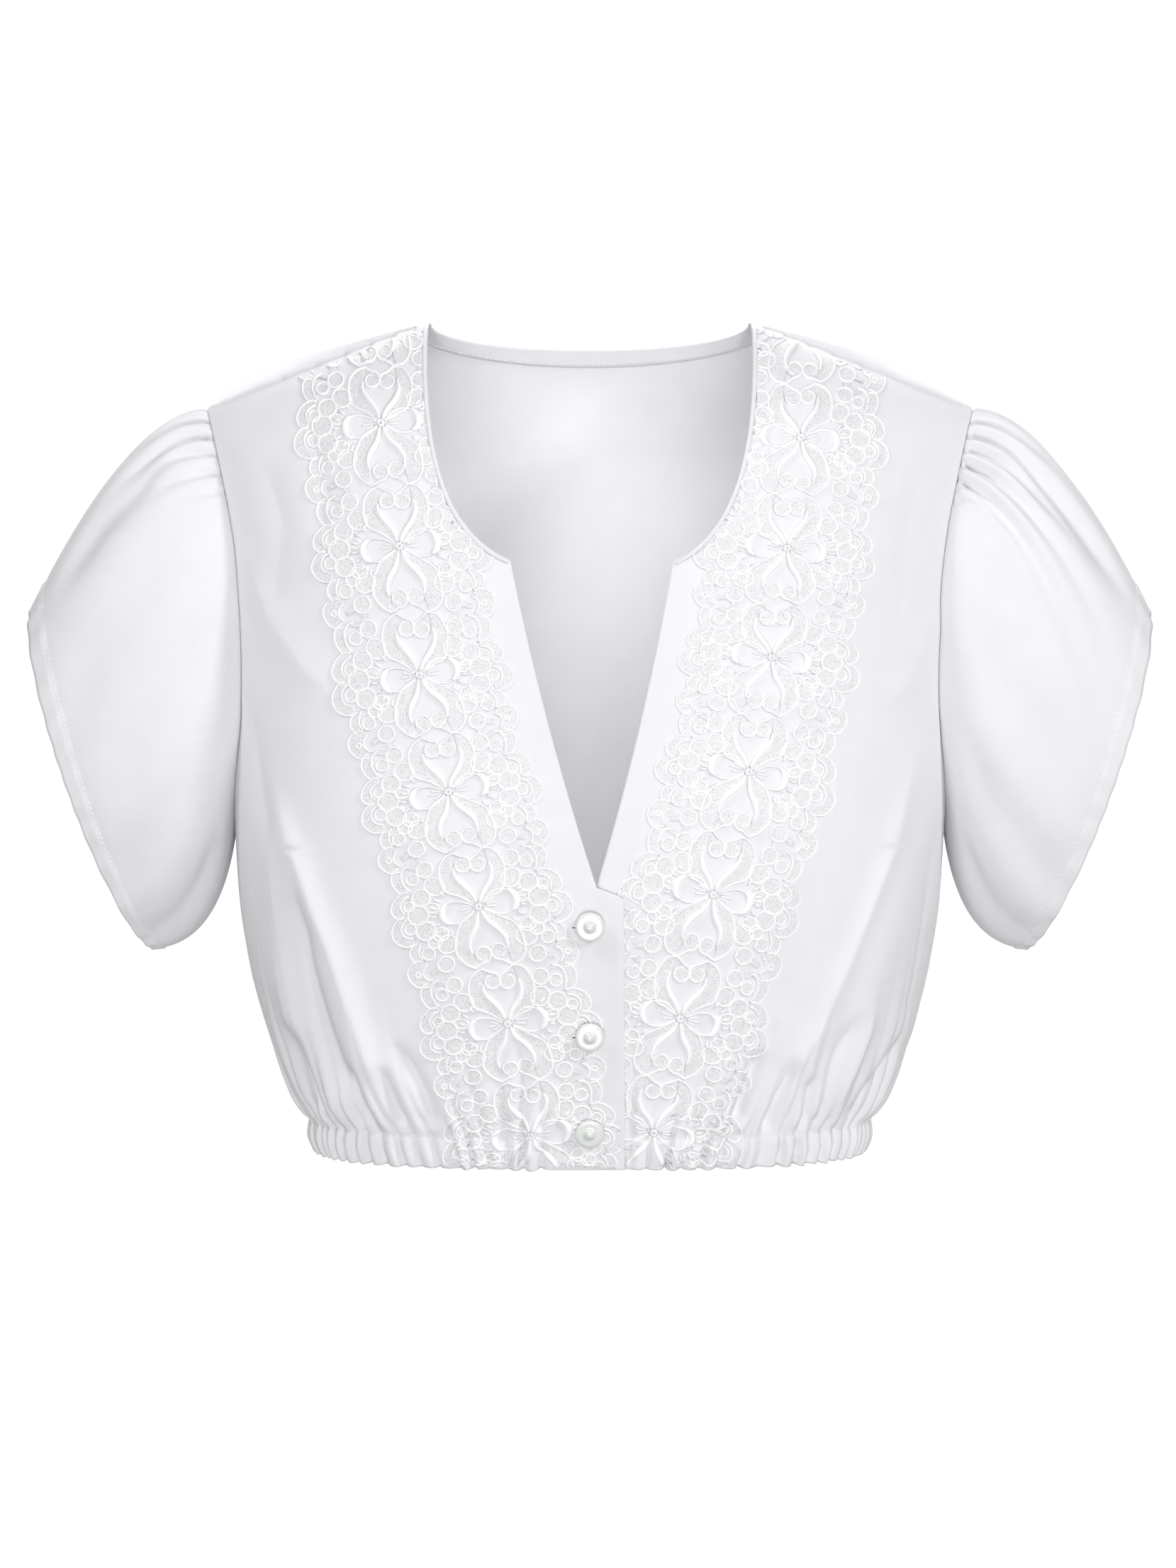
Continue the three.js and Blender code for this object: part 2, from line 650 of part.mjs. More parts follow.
const backMade = backGrid();
const backFlat = backMade.map((line) => line.map((q) => q.point));
const backOuter = moved(backFlat, outwardNormals(backFlat, true, NECK_HALF_WIDTH - 0.1), (j, i) => {
  const q = backMade[j][i];
  return foldRise(BACK_FOLDS, q.angle, q.z);
});
const backNormals = outwardNormals(backOuter, true, NECK_HALF_WIDTH - 0.1);
add("back", wallGeometry(backOuter, moved(backOuter, backNormals, () => -CLOTH), false, true));

// Binding along the inside of the back neck, from the back's own points
const BINDING_WALL = 0.8;
const neckPart = (grid) =>
  grid.slice(-2).map((line) => line.slice(BACK_COLUMNS.shoulder, -BACK_COLUMNS.shoulder));
const bindingGrid = neckPart(backOuter);
const bindingNormals = neckPart(backNormals);
const bindingEnd = bindingGrid[0].length - 1;
// The back turns sharply where its neck meets the shoulder seams: there the binding's lower edge stands off more
const bindingLayer = (wall) =>
  moved(bindingGrid, bindingNormals, (j, i) => {
    const corner = j === 0 && Math.min(i, bindingEnd - i) <= 1 ? 0.35 : 0;
    return -CLOTH - SEAM_GAP - corner - wall;
  });
add("neck_binding", wallGeometry(bindingLayer(0), bindingLayer(BINDING_WALL), false, true));

// Gathered casing at the hem, one piece on each front and one across the back
const uneven = (i, k) => {
  const wave = Math.sin(i * 12.9898 + k * 78.233) * 43758.5453;
  return wave - Math.floor(wave) - 0.5;
};
const CASING_ROWS = [
  { z: HEM_Z, depth: 0.7 },
  { z: -393.5, depth: 1 },
  { z: CASING_TOP_Z, depth: 0.85 },
];

// Grid of a casing between two ring angles, its outward directions, and how far each point stands out
function casingGrid(side, face, from, to, gathers, seed) {
  const columns = 2 * gathers;
  const places = [];
  for (let i = 0; i <= columns; i++) {
    const inside = i > 0 && i < columns;
    const share = (i + (inside ? uneven(i, seed) * 0.5 : 0)) / columns;
    const sign = i % 2 ? 1 : -1;
    places.push({ angle: lerp(from, to, share), out: sign * (0.8 + 0.4 * uneven(i, seed + 5)) });
  }
  const grid = CASING_ROWS.map((row) =>
    places.map((p, i) => bodyPoint(side, face, p.angle + 0.006 * uneven(i, seed + row.z), row.z)),
  );
  const out = CASING_ROWS.map((row) => places.map((p) => p.out * row.depth * CASING_GATHER_DEPTH));
  return { grid, out };
}

const casings = {};
for (const [name, side, seed] of [["right", -1, 1], ["left", 1, 2]]) {
  const from = angleAt(FLAT_STAND[name] + FLAT_STEP + 0.5, CASING_TOP_Z);
  const to = seamAngle(HEM_Z, ringFront) - 0.007;
  const { grid, out } = casingGrid(side, -1, from, to, CASING_GATHERS.front, seed);
  const mirrored = side < 0;
  const normals = gridNormals(grid, false);
  for (const line of normals) for (const n of line) if (mirrored) n.negate();
  casings[name] = { grid, out, normals, mirrored };
}
const backSeam = seamAngle(HEM_Z, ringBack) - 0.007;
const backCasing = casingGrid(1, 1, -backSeam, backSeam, CASING_GATHERS.back, 3);
backCasing.normals = gridNormals(backCasing.grid, false);
for (const line of backCasing.normals) for (const n of line) n.negate();
backCasing.mirrored = true;
casings.back = backCasing;
for (const [name, casing] of Object.entries(casings)) {
  const layer = (lift) => moved(casing.grid, casing.normals, (j, i) => casing.out[j][i] + lift);
  add("hem_casing_" + name, wallGeometry(layer(0), layer(-CASING_WALL), false, casing.mirrored));
}

// Sleeves. The armhole is a closed loop through the edge points of the front and the back. It starts at the
// shoulder, runs down the front to the underarm and comes up the back.
function armholeLoop(name) {
  const side = name === "right" ? -1 : 1;
  const front = fronts[name];
  const frontLast = front.outer[0].length - 1;
  const backAt = name === "right" ? 0 : backOuter[0].length - 1;
  const backNext = name === "right" ? 1 : backAt - 1;
  const loop = [];
  const push = (grid, j, i, next) => {
    const away = grid[j][i].clone().sub(grid[j][next]).normalize();
    loop.push(grid[j][i].clone().addScaledVector(away, SEAM_GAP + 0.15));
  };
  for (let j = front.outer.length - 1; j >= FRONT_ROWS.below; j--) {
    push(front.outer, j, frontLast, frontLast - 1);
  }
  for (let j = BACK_ROWS.below; j < backOuter.length; j++) push(backOuter, j, backAt, backNext);
  // At the shoulder and the underarm the two edges meet in one point
  const join = (a, b) => {
    const p = loop[a].clone().add(loop[b]).multiplyScalar(0.5);
    p.y = 0;
    return p;
  };
  const frontCount = front.outer.length - FRONT_ROWS.below;
  const crown = join(0, loop.length - 1);
  crown.x = side * (SHOULDER.x + SEAM_GAP + 0.15);
  crown.z = SHOULDER.z;
  const under = join(frontCount - 1, frontCount);
  under.x += side * 0.5;
  under.z += SEAM_GAP + 0.1;
  return [crown, ...loop.slice(1, frontCount - 1), under, ...loop.slice(frontCount + 1, -1)];
}

// Point of a closed loop at a share of its length
function alongLoop(loop, share) {
  const lengths = loop.map((p, i) => p.distanceTo(loop[(i + 1) % loop.length]));
  const total = lengths.reduce((a, b) => a + b, 0);
  let rest = (share - Math.floor(share)) * total;
  for (let i = 0; i < loop.length; i++) {
    if (rest <= lengths[i]) return loop[i].clone().lerp(loop[(i + 1) % loop.length], rest / lengths[i]);
    rest -= lengths[i];
  }
  return loop[0].clone();
}

function ovalPoint(oval, side, share) {
  const angle = 2 * Math.PI * share;
  const p = new THREE.Vector3(...oval.middle);
  p.addScaledVector(new THREE.Vector3(...oval.up), Math.cos(angle));
  p.addScaledVector(new THREE.Vector3(...oval.forward), Math.sin(angle));
  p.x *= side;
  return p;
}

function sleeveShares() {
  const shares = [];
  const crown = { from: -0.1606, to: 0.1648, columns: 33 };
  for (let i = 0; i < crown.columns; i++) shares.push(lerp(crown.from, crown.to, i / crown.columns));
  const rest = 14;
  for (let i = 0; i < rest; i++) shares.push(lerp(crown.to, 1 + crown.from, i / rest));
  return shares;
}

for (const [name, side] of [["right", -1], ["left", 1]]) {
  const mirrored = side < 0;
  const loop = armholeLoop(name);
  const shares = sleeveShares();
  const skew = mirrored ? 0 : 0.0095;
  const grid = SLEEVE_ROWS.map((v) =>
    shares.map((share) => {
      const start = alongLoop(loop, share);
      const bend = ovalPoint(SLEEVE_BEND, side, share);
      const end = ovalPoint(SLEEVE_HEM, side, share);
      return new THREE.QuadraticBezierCurve3(start, bend, end).getPoint(v);
    }),
  );
  const turned = (g) => {
    const normals = gridNormals(g, true);
    for (const line of normals) for (const n of line) if (mirrored) n.negate();
    return normals;
  };
  const outer = moved(grid, turned(grid), (j, i) => {
    const v = SLEEVE_ROWS[j];
    const share = shares[i] > 0.5 ? shares[i] - 1 : shares[i];
    let out = 0;
    for (const gather of CROWN_GATHERS) {
      const fade = clamp(1 - v / gather.reach, 0, 1);
      const away = (share - gather.at + skew * Math.sign(share)) / (GATHER_HALF_WIDTH * (1 + v));
      out -= gather.depth * fade * Math.exp(-away * away);
    }
    return out * (0.15 + 0.85 * smooth(v / 0.08));
  });
  const normals = turned(outer);
  const inner = moved(outer, normals, (j) => {
    return -lerp(CLOTH, SLEEVE_HEM_WALL, smooth((SLEEVE_ROWS[j] - 0.85) / 0.07));
  });
  add("sleeve_" + name, wallGeometry(outer, inner, true, mirrored));
}

// Lace, cut from slabs over the fronts and over the casings
function solidFrom(geometry) {
  const position = geometry.attributes.position.array;
  const mesh = new wasm.Mesh({
    numProp: 3,
    vertProperties: Float32Array.from(position),
    triVerts: Uint32Array.from(geometry.index.array),
  });
  return new wasm.Manifold(mesh);
}

function geometryFrom(solid) {
  const mesh = solid.getMesh();
  const geometry = new THREE.BufferGeometry();
  const points = [];
  for (let i = 0; i < mesh.numVert; i++) {
    for (let k = 0; k < 3; k++) points.push(mesh.vertProperties[i * mesh.numProp + k]);
  }
  geometry.setAttribute("position", new THREE.Float32BufferAttribute(points, 3));
  geometry.setIndex([...mesh.triVerts]);
  return geometry;
}

// Corner points of the gaps beside each flower, in the front view
function laceGaps(name) {
  const flowers = LACE_FLOWERS[name];
  const gaps = [];
  flowers.forEach((flower, k) => {
    const above = flowers[Math.max(k - 1, 0)];
    const below = flowers[Math.min(k + 1, flowers.length - 1)];
    const up = new THREE.Vector2(above.x - below.x, above.z - below.z).normalize();
    const out = new THREE.Vector2(up.y, -up.x);
    for (const gap of LACE_GAPS) {
      const corners = [];
      for (let i = 0; i < gap.corners; i++) {
        const turn = (2 * Math.PI * i) / gap.corners + Math.PI / 2;
        const a = gap.out + (gap.wide / 2) * Math.cos(turn);
        const b = gap.up + (gap.tall / 2) * Math.sin(turn);
        corners.push([flower.x + out.x * a + up.x * b, flower.z + out.y * a + up.y * b]);
      }
      gaps.push(corners);
    }
  });
  return gaps;
}

// A gap is cut only where it stays clear of both edges
function insideEdges(name, [x, z]) {
  const across = (rows, height, start) => {
    let pick = start;
    for (let i = 0; i + 1 < rows.length; i++) {
      const [low, high] = rows[i].z < rows[i + 1].z ? [rows[i], rows[i + 1]] : [rows[i + 1], rows[i]];
      if (height < low.z || height > high.z) continue;
      pick = lerp(low.x, high.x, (height - low.z) / (high.z - low.z));
    }
    return pick;
  };
  const margin = 1.5;
  return [z - 4, z, z + 4].every((height) => {
    const inner = height > -110 ? 30 : across(LACE_INNER_EDGE[name], height, 30);
    return x > inner + margin && x < across(LACE_OUTER_EDGE[name], height, 130) - margin && z > -380;
  });
}

function lacePlan(name) {
  const side = name === "right" ? -1 : 1;
  const outline = [...LACE_OUTER_EDGE[name], ...LACE_INNER_EDGE[name]].map((r) => [r.x, r.z]);
  outline.push([30, -90], [60, 20], [120, 20]);
  const polygons = [outline, ...laceGaps(name).filter((g) => g.every((p) => insideEdges(name, p)))];
  if (name === "right") {
    for (const z of [BUTTON_HEIGHTS.middle, BUTTON_HEIGHTS.bottom]) {
      const ring = [];
      const reach = BUTTON_SHANK_RADIUS + 1.2;
      for (let i = 0; i < 8; i++) {
        const turn = (Math.PI * i) / 4 + Math.PI / 8;
        ring.push([reach * Math.cos(turn), z + reach * Math.sin(turn)]);
      }
      polygons.push(ring);
    }
  }
  const flat = polygons.map((polygon) => polygon.map(([x, z]) => [side * x, z]));
  return new wasm.CrossSection(flat, "EvenOdd").extrude(220).rotate([90, 0, 0]);
}

for (const name of ["right", "left"]) {
  const plan = lacePlan(name);
  const { outer, normals, mirrored } = fronts[name];
  const slab = wallGeometry(
    moved(outer, normals, () => LACE_LIFT + LACE_WALL),
    moved(outer, normals, () => LACE_LIFT),
    false,
    mirrored,
  );
  add("lace_" + name, geometryFrom(solidFrom(slab).intersect(plan).simplify(0.04)), 0xf4f3f6);
  const casing = casings[name];
  const layer = (lift) => moved(casing.grid, casing.normals, (j, i) => casing.out[j][i] + lift);
  const band = wallGeometry(layer(LACE_LIFT + LACE_WALL), layer(LACE_LIFT), false, mirrored);
  add("lace_hem_" + name, geometryFrom(solidFrom(band).intersect(plan).simplify(0.04)), 0xf4f3f6);
}

// Buttons, turned about the line that stands square on the button stand
function spun(profile, segments) {
  const position = [];
  const index = [];
  const rings = profile.map((q) => {
    if (q.r === 0) {
      position.push(0, 0, q.h);
      return [position.length / 3 - 1];
    }
    const ring = [];
    for (let i = 0; i < segments; i++) {
      const turn = (2 * Math.PI * i) / segments;
      position.push(q.r * Math.cos(turn), q.r * Math.sin(turn), q.h);
      ring.push(position.length / 3 - 1);
    }
    return ring;
  });
  for (let k = 0; k + 1 < rings.length; k++) {
    const [a, b] = [rings[k], rings[k + 1]];
    for (let i = 0; i < segments; i++) {
      const j = (i + 1) % segments;
      if (a.length === 1) index.push(a[0], b[j], b[i]);
      else if (b.length === 1) index.push(a[i], a[j], b[0]);
      else index.push(a[i], a[j], b[j], a[i], b[j], b[i]);
    }
  }
  const geometry = new THREE.BufferGeometry();
  geometry.setAttribute("position", new THREE.Float32BufferAttribute(position, 3));
  geometry.setIndex(index);
  return geometry;
}

for (const [name, z] of Object.entries(BUTTON_HEIGHTS)) {
  const step = 6;
  const above = bodyPoint(1, -1, 0, z + step);
  const below = bodyPoint(1, -1, 0, z - step);
  const out = new THREE.Vector3(0, -(above.z - below.z), above.y - below.y).normalize();
  const seat = bodyPoint(1, -1, 0, z).addScaledVector(out, OVERLAP_LIFT + 0.1);
  const geometry = spun(BUTTON_PROFILE, 20);
  geometry.applyQuaternion(new THREE.Quaternion().setFromUnitVectors(new THREE.Vector3(0, 0, 1), out));
  geometry.translate(seat.x, seat.y, seat.z);
  add("button_" + name, geometry, 0xeef0ea, 0.25);
}

export default group;
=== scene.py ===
import bpy
import bmesh
import math
import numpy as np
from mathutils import Matrix, Vector


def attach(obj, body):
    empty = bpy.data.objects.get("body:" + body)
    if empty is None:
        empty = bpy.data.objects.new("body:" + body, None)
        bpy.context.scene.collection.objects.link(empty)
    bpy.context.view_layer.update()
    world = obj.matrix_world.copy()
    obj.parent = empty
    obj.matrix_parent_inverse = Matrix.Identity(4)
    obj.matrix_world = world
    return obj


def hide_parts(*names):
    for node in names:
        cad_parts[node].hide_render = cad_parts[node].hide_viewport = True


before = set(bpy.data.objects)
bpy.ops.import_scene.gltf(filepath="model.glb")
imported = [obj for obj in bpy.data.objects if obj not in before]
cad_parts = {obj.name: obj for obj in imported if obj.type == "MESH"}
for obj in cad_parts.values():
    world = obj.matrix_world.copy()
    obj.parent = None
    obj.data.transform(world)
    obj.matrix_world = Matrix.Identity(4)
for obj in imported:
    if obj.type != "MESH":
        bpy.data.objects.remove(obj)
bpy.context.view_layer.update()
scene = bpy.context.scene

# The camera stands 2.6 m in front of the blouse, a little above the neckline's height, and looks slightly
# down. Its lens is as long as the picture's height at the blouse asks for.
CAMERA_AT = Vector((0.0, -2.6, -0.095))
CAMERA_AIM = Vector((-0.0009, 0.0, -0.224))
FRAME_HEIGHT = 0.763  # height of the picture at the blouse, in metres

camera_data = bpy.data.cameras.new("camera")
camera_data.sensor_width = 36.0
camera_data.sensor_fit = "AUTO"
camera_data.lens = 36.0 * (CAMERA_AIM - CAMERA_AT).length / FRAME_HEIGHT
camera = bpy.data.objects.new("camera", camera_data)
camera.location = CAMERA_AT
camera.rotation_euler = (CAMERA_AIM - CAMERA_AT).to_track_quat("-Z", "Y").to_euler()
scene.collection.objects.link(camera)
scene.camera = camera
scene.view_settings.view_transform = "Standard"

# The studio: a lit white sheet far behind the hanging blouse, a grey floor and a pale room. Small lamps high
# up on both sides draw the folds, broad ones in front and low down fill them, one behind shines through the
# thin cloth, and a tiny one hung inside lights the inside of the back.
sky = bpy.data.worlds.new("white_room")
sky.use_nodes = True
sky.node_tree.nodes["Background"].inputs["Color"].default_value = (0.985, 0.985, 1.0, 1.0)
sky.node_tree.nodes["Background"].inputs["Strength"].default_value = 0.3
scene.world = sky


def stage_sheet(name, half_width, half_height, at, turn, grey, glow):
    """A flat sheet of the studio, of a grey between 0 and 1, turned from lying flat about the X axis."""
    form = bmesh.new()
    bmesh.ops.create_grid(form, x_segments=1, y_segments=1, size=1.0)
    bmesh.ops.scale(form, vec=(half_width, half_height, 1), verts=form.verts)
    data = bpy.data.meshes.new(name)
    place = Matrix.Translation(at) @ Matrix.Rotation(turn, 4, "X")
    bmesh.ops.transform(form, matrix=place, verts=form.verts)
    form.to_mesh(data)
    form.free()
    sheet = bpy.data.objects.new(name, data)
    scene.collection.objects.link(sheet)
    paper = bpy.data.materials.new(name)
    paper.use_nodes = True
    paper_shader = paper.node_tree.nodes["Principled BSDF"]
    paper_shader.inputs["Base Color"].default_value = (grey, grey, grey, 1)
    paper_shader.inputs["Roughness"].default_value = 0.9
    paper_shader.inputs["Emission Color"].default_value = (1, 1, 1, 1)
    paper_shader.inputs["Emission Strength"].default_value = glow
    data.materials.append(paper)


stage_sheet("backdrop", 3.3, 2.7, (0, 4.5, 0.7), math.pi / 2, 0.3, 0.97)
stage_sheet("studio_floor", 5.0, 5.0, (0, -1.5, -1.4), 0, 0.25, 0)
BLOUSE_MIDDLE = (0, 0, -0.2)


def lamp(name, at, size, watts, aim=BLOUSE_MIDDLE):
    data = bpy.data.lights.new(name, "AREA")
    data.shape = "DISK"
    data.size = size
    data.energy = watts
    made = bpy.data.objects.new(name, data)
    made.location = at
    made.rotation_euler = (Vector(aim) - Vector(at)).to_track_quat("-Z", "Y").to_euler()
    scene.collection.objects.link(made)


lamp("key_lamp", (1.9, -1.5, 1.2), 0.5, 30)
lamp("side_lamp", (-1.6, -1.0, 1.6), 0.5, 19.5)
lamp("front_lamp", (0.15, -3.0, 0.5), 1.0, 15)
lamp("low_lamp", (0.0, -2.4, -1.0), 0.8, 27)
lamp("back_lamp", (0.0, 2.2, 1.7), 1.5, 70)
lamp("inside_lamp", (0.032, -0.06, -0.145), 0.07, 0.094, (0.032, 0.1, -0.185))

# The cloth: white cotton poplin, plain weave, matt and faintly cool. It is slightly see-through, so the
# inside of the back glows a little. Threads run along each piece's own UV map, in metres of cloth.
COTTON_COLOUR = (0.80, 0.795, 0.82, 1)
COTTON_SHADE = (0.75, 0.745, 0.768, 1)
THREAD_PITCH = 0.00042
THREAD_DEPTH = 0.25
WAVES_PER_SCALE = 0.31416  # a wave texture's scale that gives one band in a metre


def joined(tree, *pairs):
    """Links each first socket to its second one."""
    for source, target in pairs:
        tree.links.new(source, target)


def cotton_material():
    material = bpy.data.materials.new("cotton_poplin")
    material.use_nodes = True
    tree = material.node_tree
    shader = tree.nodes["Principled BSDF"]
    shader.inputs["Roughness"].default_value = 0.86
    shader.inputs["Specular IOR Level"].default_value = 0.22
    shader.inputs["Sheen Weight"].default_value = 0.12
    shader.inputs["Sheen Roughness"].default_value = 0.5
    shader.inputs["Subsurface Weight"].default_value = 0.5
    shader.inputs["Subsurface Radius"].default_value = (0.0011, 0.0011, 0.0011)
    shader.inputs["Subsurface Scale"].default_value = 1.0
    place = tree.nodes.new("ShaderNodeTexCoord")
    warp = tree.nodes.new("ShaderNodeTexWave")
    weft = tree.nodes.new("ShaderNodeTexWave")
    for wave, direction in ((warp, "X"), (weft, "Y")):
        wave.wave_type = "BANDS"
        wave.bands_direction = direction
        wave.wave_profile = "SIN"
        wave.inputs["Scale"].default_value = WAVES_PER_SCALE / THREAD_PITCH
        wave.inputs["Distortion"].default_value = 0.6
        wave.inputs["Detail"].default_value = 1.0
    weave = tree.nodes.new("ShaderNodeMath")
    weave.operation = "MULTIPLY"
    slub = tree.nodes.new("ShaderNodeTexNoise")
    slub.inputs["Scale"].default_value = 60
    slub.inputs["Detail"].default_value = 4
    tone = tree.nodes.new("ShaderNodeMix")
    tone.data_type = "RGBA"
    tone.inputs[6].default_value = COTTON_SHADE
    tone.inputs[7].default_value = COTTON_COLOUR
    bump = tree.nodes.new("ShaderNodeBump")
    bump.inputs["Strength"].default_value = THREAD_DEPTH
    bump.inputs["Distance"].default_value = 0.0001
    joined(
        tree,
        (place.outputs["UV"], warp.inputs["Vector"]),
        (place.outputs["UV"], weft.inputs["Vector"]),
        (place.outputs["Object"], slub.inputs["Vector"]),
        (warp.outputs["Fac"], weave.inputs[0]),
        (weft.outputs["Fac"], weave.inputs[1]),
        (weave.outputs[0], bump.inputs["Height"]),
        (slub.outputs["Fac"], tone.inputs[0]),
        (tone.outputs[2], shader.inputs["Base Color"]),
        (bump.outputs["Normal"], shader.inputs["Normal"]),
    )
    return material


cotton = cotton_material()

# The body's form, shared by every panel: rounded rings that close over the shoulders, in millimetres.
# It repeats the part's own rings, so each panel lies where its solid is.
# Columns: height, half width, depth of the front, depth of the back
BODY_RINGS = np.array([
    (0, 190, 86, 90),
    (-42, 189.5, 90, 96),
    (-80, 183.5, 94, 101),
    (-120, 178.2, 99, 105),
    (-160, 175.2, 105, 107),
    (-200, 173.4, 111, 106),
    (-240, 172.1, 115.5, 103.5),
    (-264, 171.0, 116, 102),
    (-283, 169.5, 115, 100.5),
    (-300, 167.0, 113, 99),
    (-318, 163.5, 110.5, 97.5),
    (-343, 156.3, 106, 95),
    (-362, 149.0, 102.8, 93),
    (-376, 141.7, 99.8, 90.5),
    (-385, 135.5, 97.6, 87.5),
    (-393, 134.5, 96, 86.5),
    (-401, 131.5, 94.5, 84.5),
])
# The armhole seam: height, distance from the middle
ARMHOLE = np.array([
    (-42, 185.4), (-56, 181.5), (-77, 176.5), (-95, 172.5), (-115, 169.3), (-135, 167.5),
    (-160, 166.8), (-180, 167.0), (-198, 168.3), (-216, 170.3), (-230, 171.7), (-240, 172.1),
])
SQUARENESS = 2.6
SHOULDER_ROUND = {-1: 115.0, 1: 85.0}
NECK_HALF_WIDTH = 77.8
SHOULDER_X, SHOULDER_Z = 185.4, -42.0
HEM_Z, CASING_TOP_Z, UNDERARM_Z = -401.0, -385.0, -240.0
FRONT, BACK = -1, 1


def smooth(t):
    t = np.clip(t, 0, 1)
    return t * t * (3 - 2 * t)


def curve_through(table, key, value):
    """A smooth curve through two columns of a table."""
    order = np.argsort(table[:, key])
    k, v = table[order, key].astype(float), table[order, value].astype(float)
    slope = np.empty_like(v)
    slope[1:-1] = (v[2:] - v[:-2]) / (k[2:] - k[:-2])
    slope[0] = (v[1] - v[0]) / (k[1] - k[0])
    slope[-1] = (v[-1] - v[-2]) / (k[-1] - k[-2])

    def read(at):
        q = np.clip(at, k[0], k[-1])
        i = np.clip(np.searchsorted(k, q) - 1, 0, len(k) - 2)
        h = k[i + 1] - k[i]
        t = (q - k[i]) / h
        bend = (1 - t) ** 2 * t * h * slope[i] - (1 - t) * t * t * h * slope[i + 1]
        return v[i] * (1 + 2 * t) * (1 - t) ** 2 + v[i + 1] * t * t * (3 - 2 * t) + bend

    return read


ring_width = curve_through(BODY_RINGS, 0, 1)
ring_depth = {FRONT: curve_through(BODY_RINGS, 0, 2), BACK: curve_through(BODY_RINGS, 0, 3)}
armhole_x = curve_through(ARMHOLE, 0, 1)


def shoulder_height(x):
    """Height of the shoulder line a distance from the middle."""
    slope = SHOULDER_Z / (SHOULDER_X - NECK_HALF_WIDTH)
    inside = slope / (2 * NECK_HALF_WIDTH) * (x * x - NECK_HALF_WIDTH ** 2)
    return np.where(x >= NECK_HALF_WIDTH, slope * (x - NECK_HALF_WIDTH), inside)


def body_point(side, face, angle, z):
    """The point of the form at an angle round the ring at a height; the angle is 0 at the middle."""
    angle, z = np.broadcast_arrays(np.asarray(angle, float), np.asarray(z, float))
    s, c = np.sin(angle), np.cos(angle)
    reach = (np.abs(s) ** SQUARENESS + np.abs(c) ** SQUARENESS) ** (-1 / SQUARENESS)
    x = ring_width(z) * s * reach
    below = np.clip((shoulder_height(np.abs(x)) - z) / SHOULDER_ROUND[face], 0, 1)
    over = np.sqrt(1 - (1 - below) ** 2)
    y = face * ring_depth[face](z) * c * reach * over
    return np.stack([side * x, y, z], axis=-1)


def angle_at(x, z):
    """The ring angle whose point lies a distance from the middle."""
    share = np.clip(x / ring_width(z), -1, 1)
    return np.arctan2(share, (1 - np.abs(share) ** SQUARENESS) ** (1 / SQUARENESS))


def outer_angle(z, face):
    """The ring angle of the armhole seam, or below it of the side seam."""
    seam = math.pi / 2 - 0.05 / ring_depth[face](z)
    return np.where(z < UNDERARM_Z, seam, np.minimum(angle_at(armhole_x(z), z), seam))


def outward(side, face, angle, z):
    """The way the form faces, as unit vectors."""
    across = body_point(side, face, angle + 0.001, z) - body_point(side, face, angle - 0.001, z)
    up = body_point(side, face, angle, z) - body_point(side, face, angle, z - 0.6)
    normal = np.cross(across, up) * side * -face
    return normal / np.linalg.norm(normal, axis=-1, keepdims=True)


# How the cloth hangs on that form. Soft ridges rise from the gathered hem and lean outwards; gathers are
# drawn up on the elastic and fade out above it, each at its own length; long creases are placed one by one.
# Ridges: ring angle at the casing, angle and height where it dies out, rise, half width
FRONT_FOLDS = {
    "right": [(29.5, 34.5, -338, 2.6, 3.6), (38.5, 49, -262, 4.0, 3.6), (49, 58, -298, 3.4, 3.6),
              (60, 69, -322, 2.8, 3.6), (71.5, 78, -345, 2.0, 3.6)],
    "left": [(32, 38, -330, 2.4, 3.6), (43, 54, -246, 3.8, 3.6), (54, 62, -310, 3.0, 3.6),
             (65, 73, -318, 2.8, 3.6), (75.5, 80, -350, 2.0, 3.4)],
}
BACK_FOLDS = [
    (-66, -72, -318, 2.8, 4.6), (-48, -53, -290, 3.6, 4.8), (-31, -33, -325, 3.0, 4.6),
    (-14, -16, -300, 3.2, 4.8), (3, 3, -335, 2.6, 4.6), (19, 21, -285, 3.6, 4.8),
    (37, 40, -320, 3.0, 4.6), (54, 60, -296, 3.4, 4.8), (71, 76, -330, 2.6, 4.6),
]
CASING_GATHERS = {"right": 22, "left": 22, "back": 42}
GATHER_DEPTH = 2.3
HEM_SCALLOP = 0.8
OVERLAP_LIFT = 2.1
CREASE_DEPTH = 1.5
FLAT_STAND = {"right": 20, "left": 17}
SEEDS = {"right": 1, "left": 2, "back": 3}


def fold_rise(folds, angle, z):
    rise = np.zeros_like(z)
    up = z - CASING_TOP_Z
    swell = 0.2 + 0.8 * smooth(up / 14)
    for start, end, top, height, spread in folds:
        along = np.clip(up / (top - CASING_TOP_Z), 0, 1)
        away = (np.degrees(angle) - (start + (end - start) * along)) / (spread * (1 + 0.5 * along))
        rise += height * np.exp(-away * away) * (1 - along) ** 0.8 * swell
    return rise * smooth((z + 392) / 8)


def uneven(i, k):
    """A fixed uneven value from -0.5 to 0.5 for each number."""
    wave = np.sin(i * 12.9898 + k * 78.233) * 43758.5453
    return wave - np.floor(wave) - 0.5


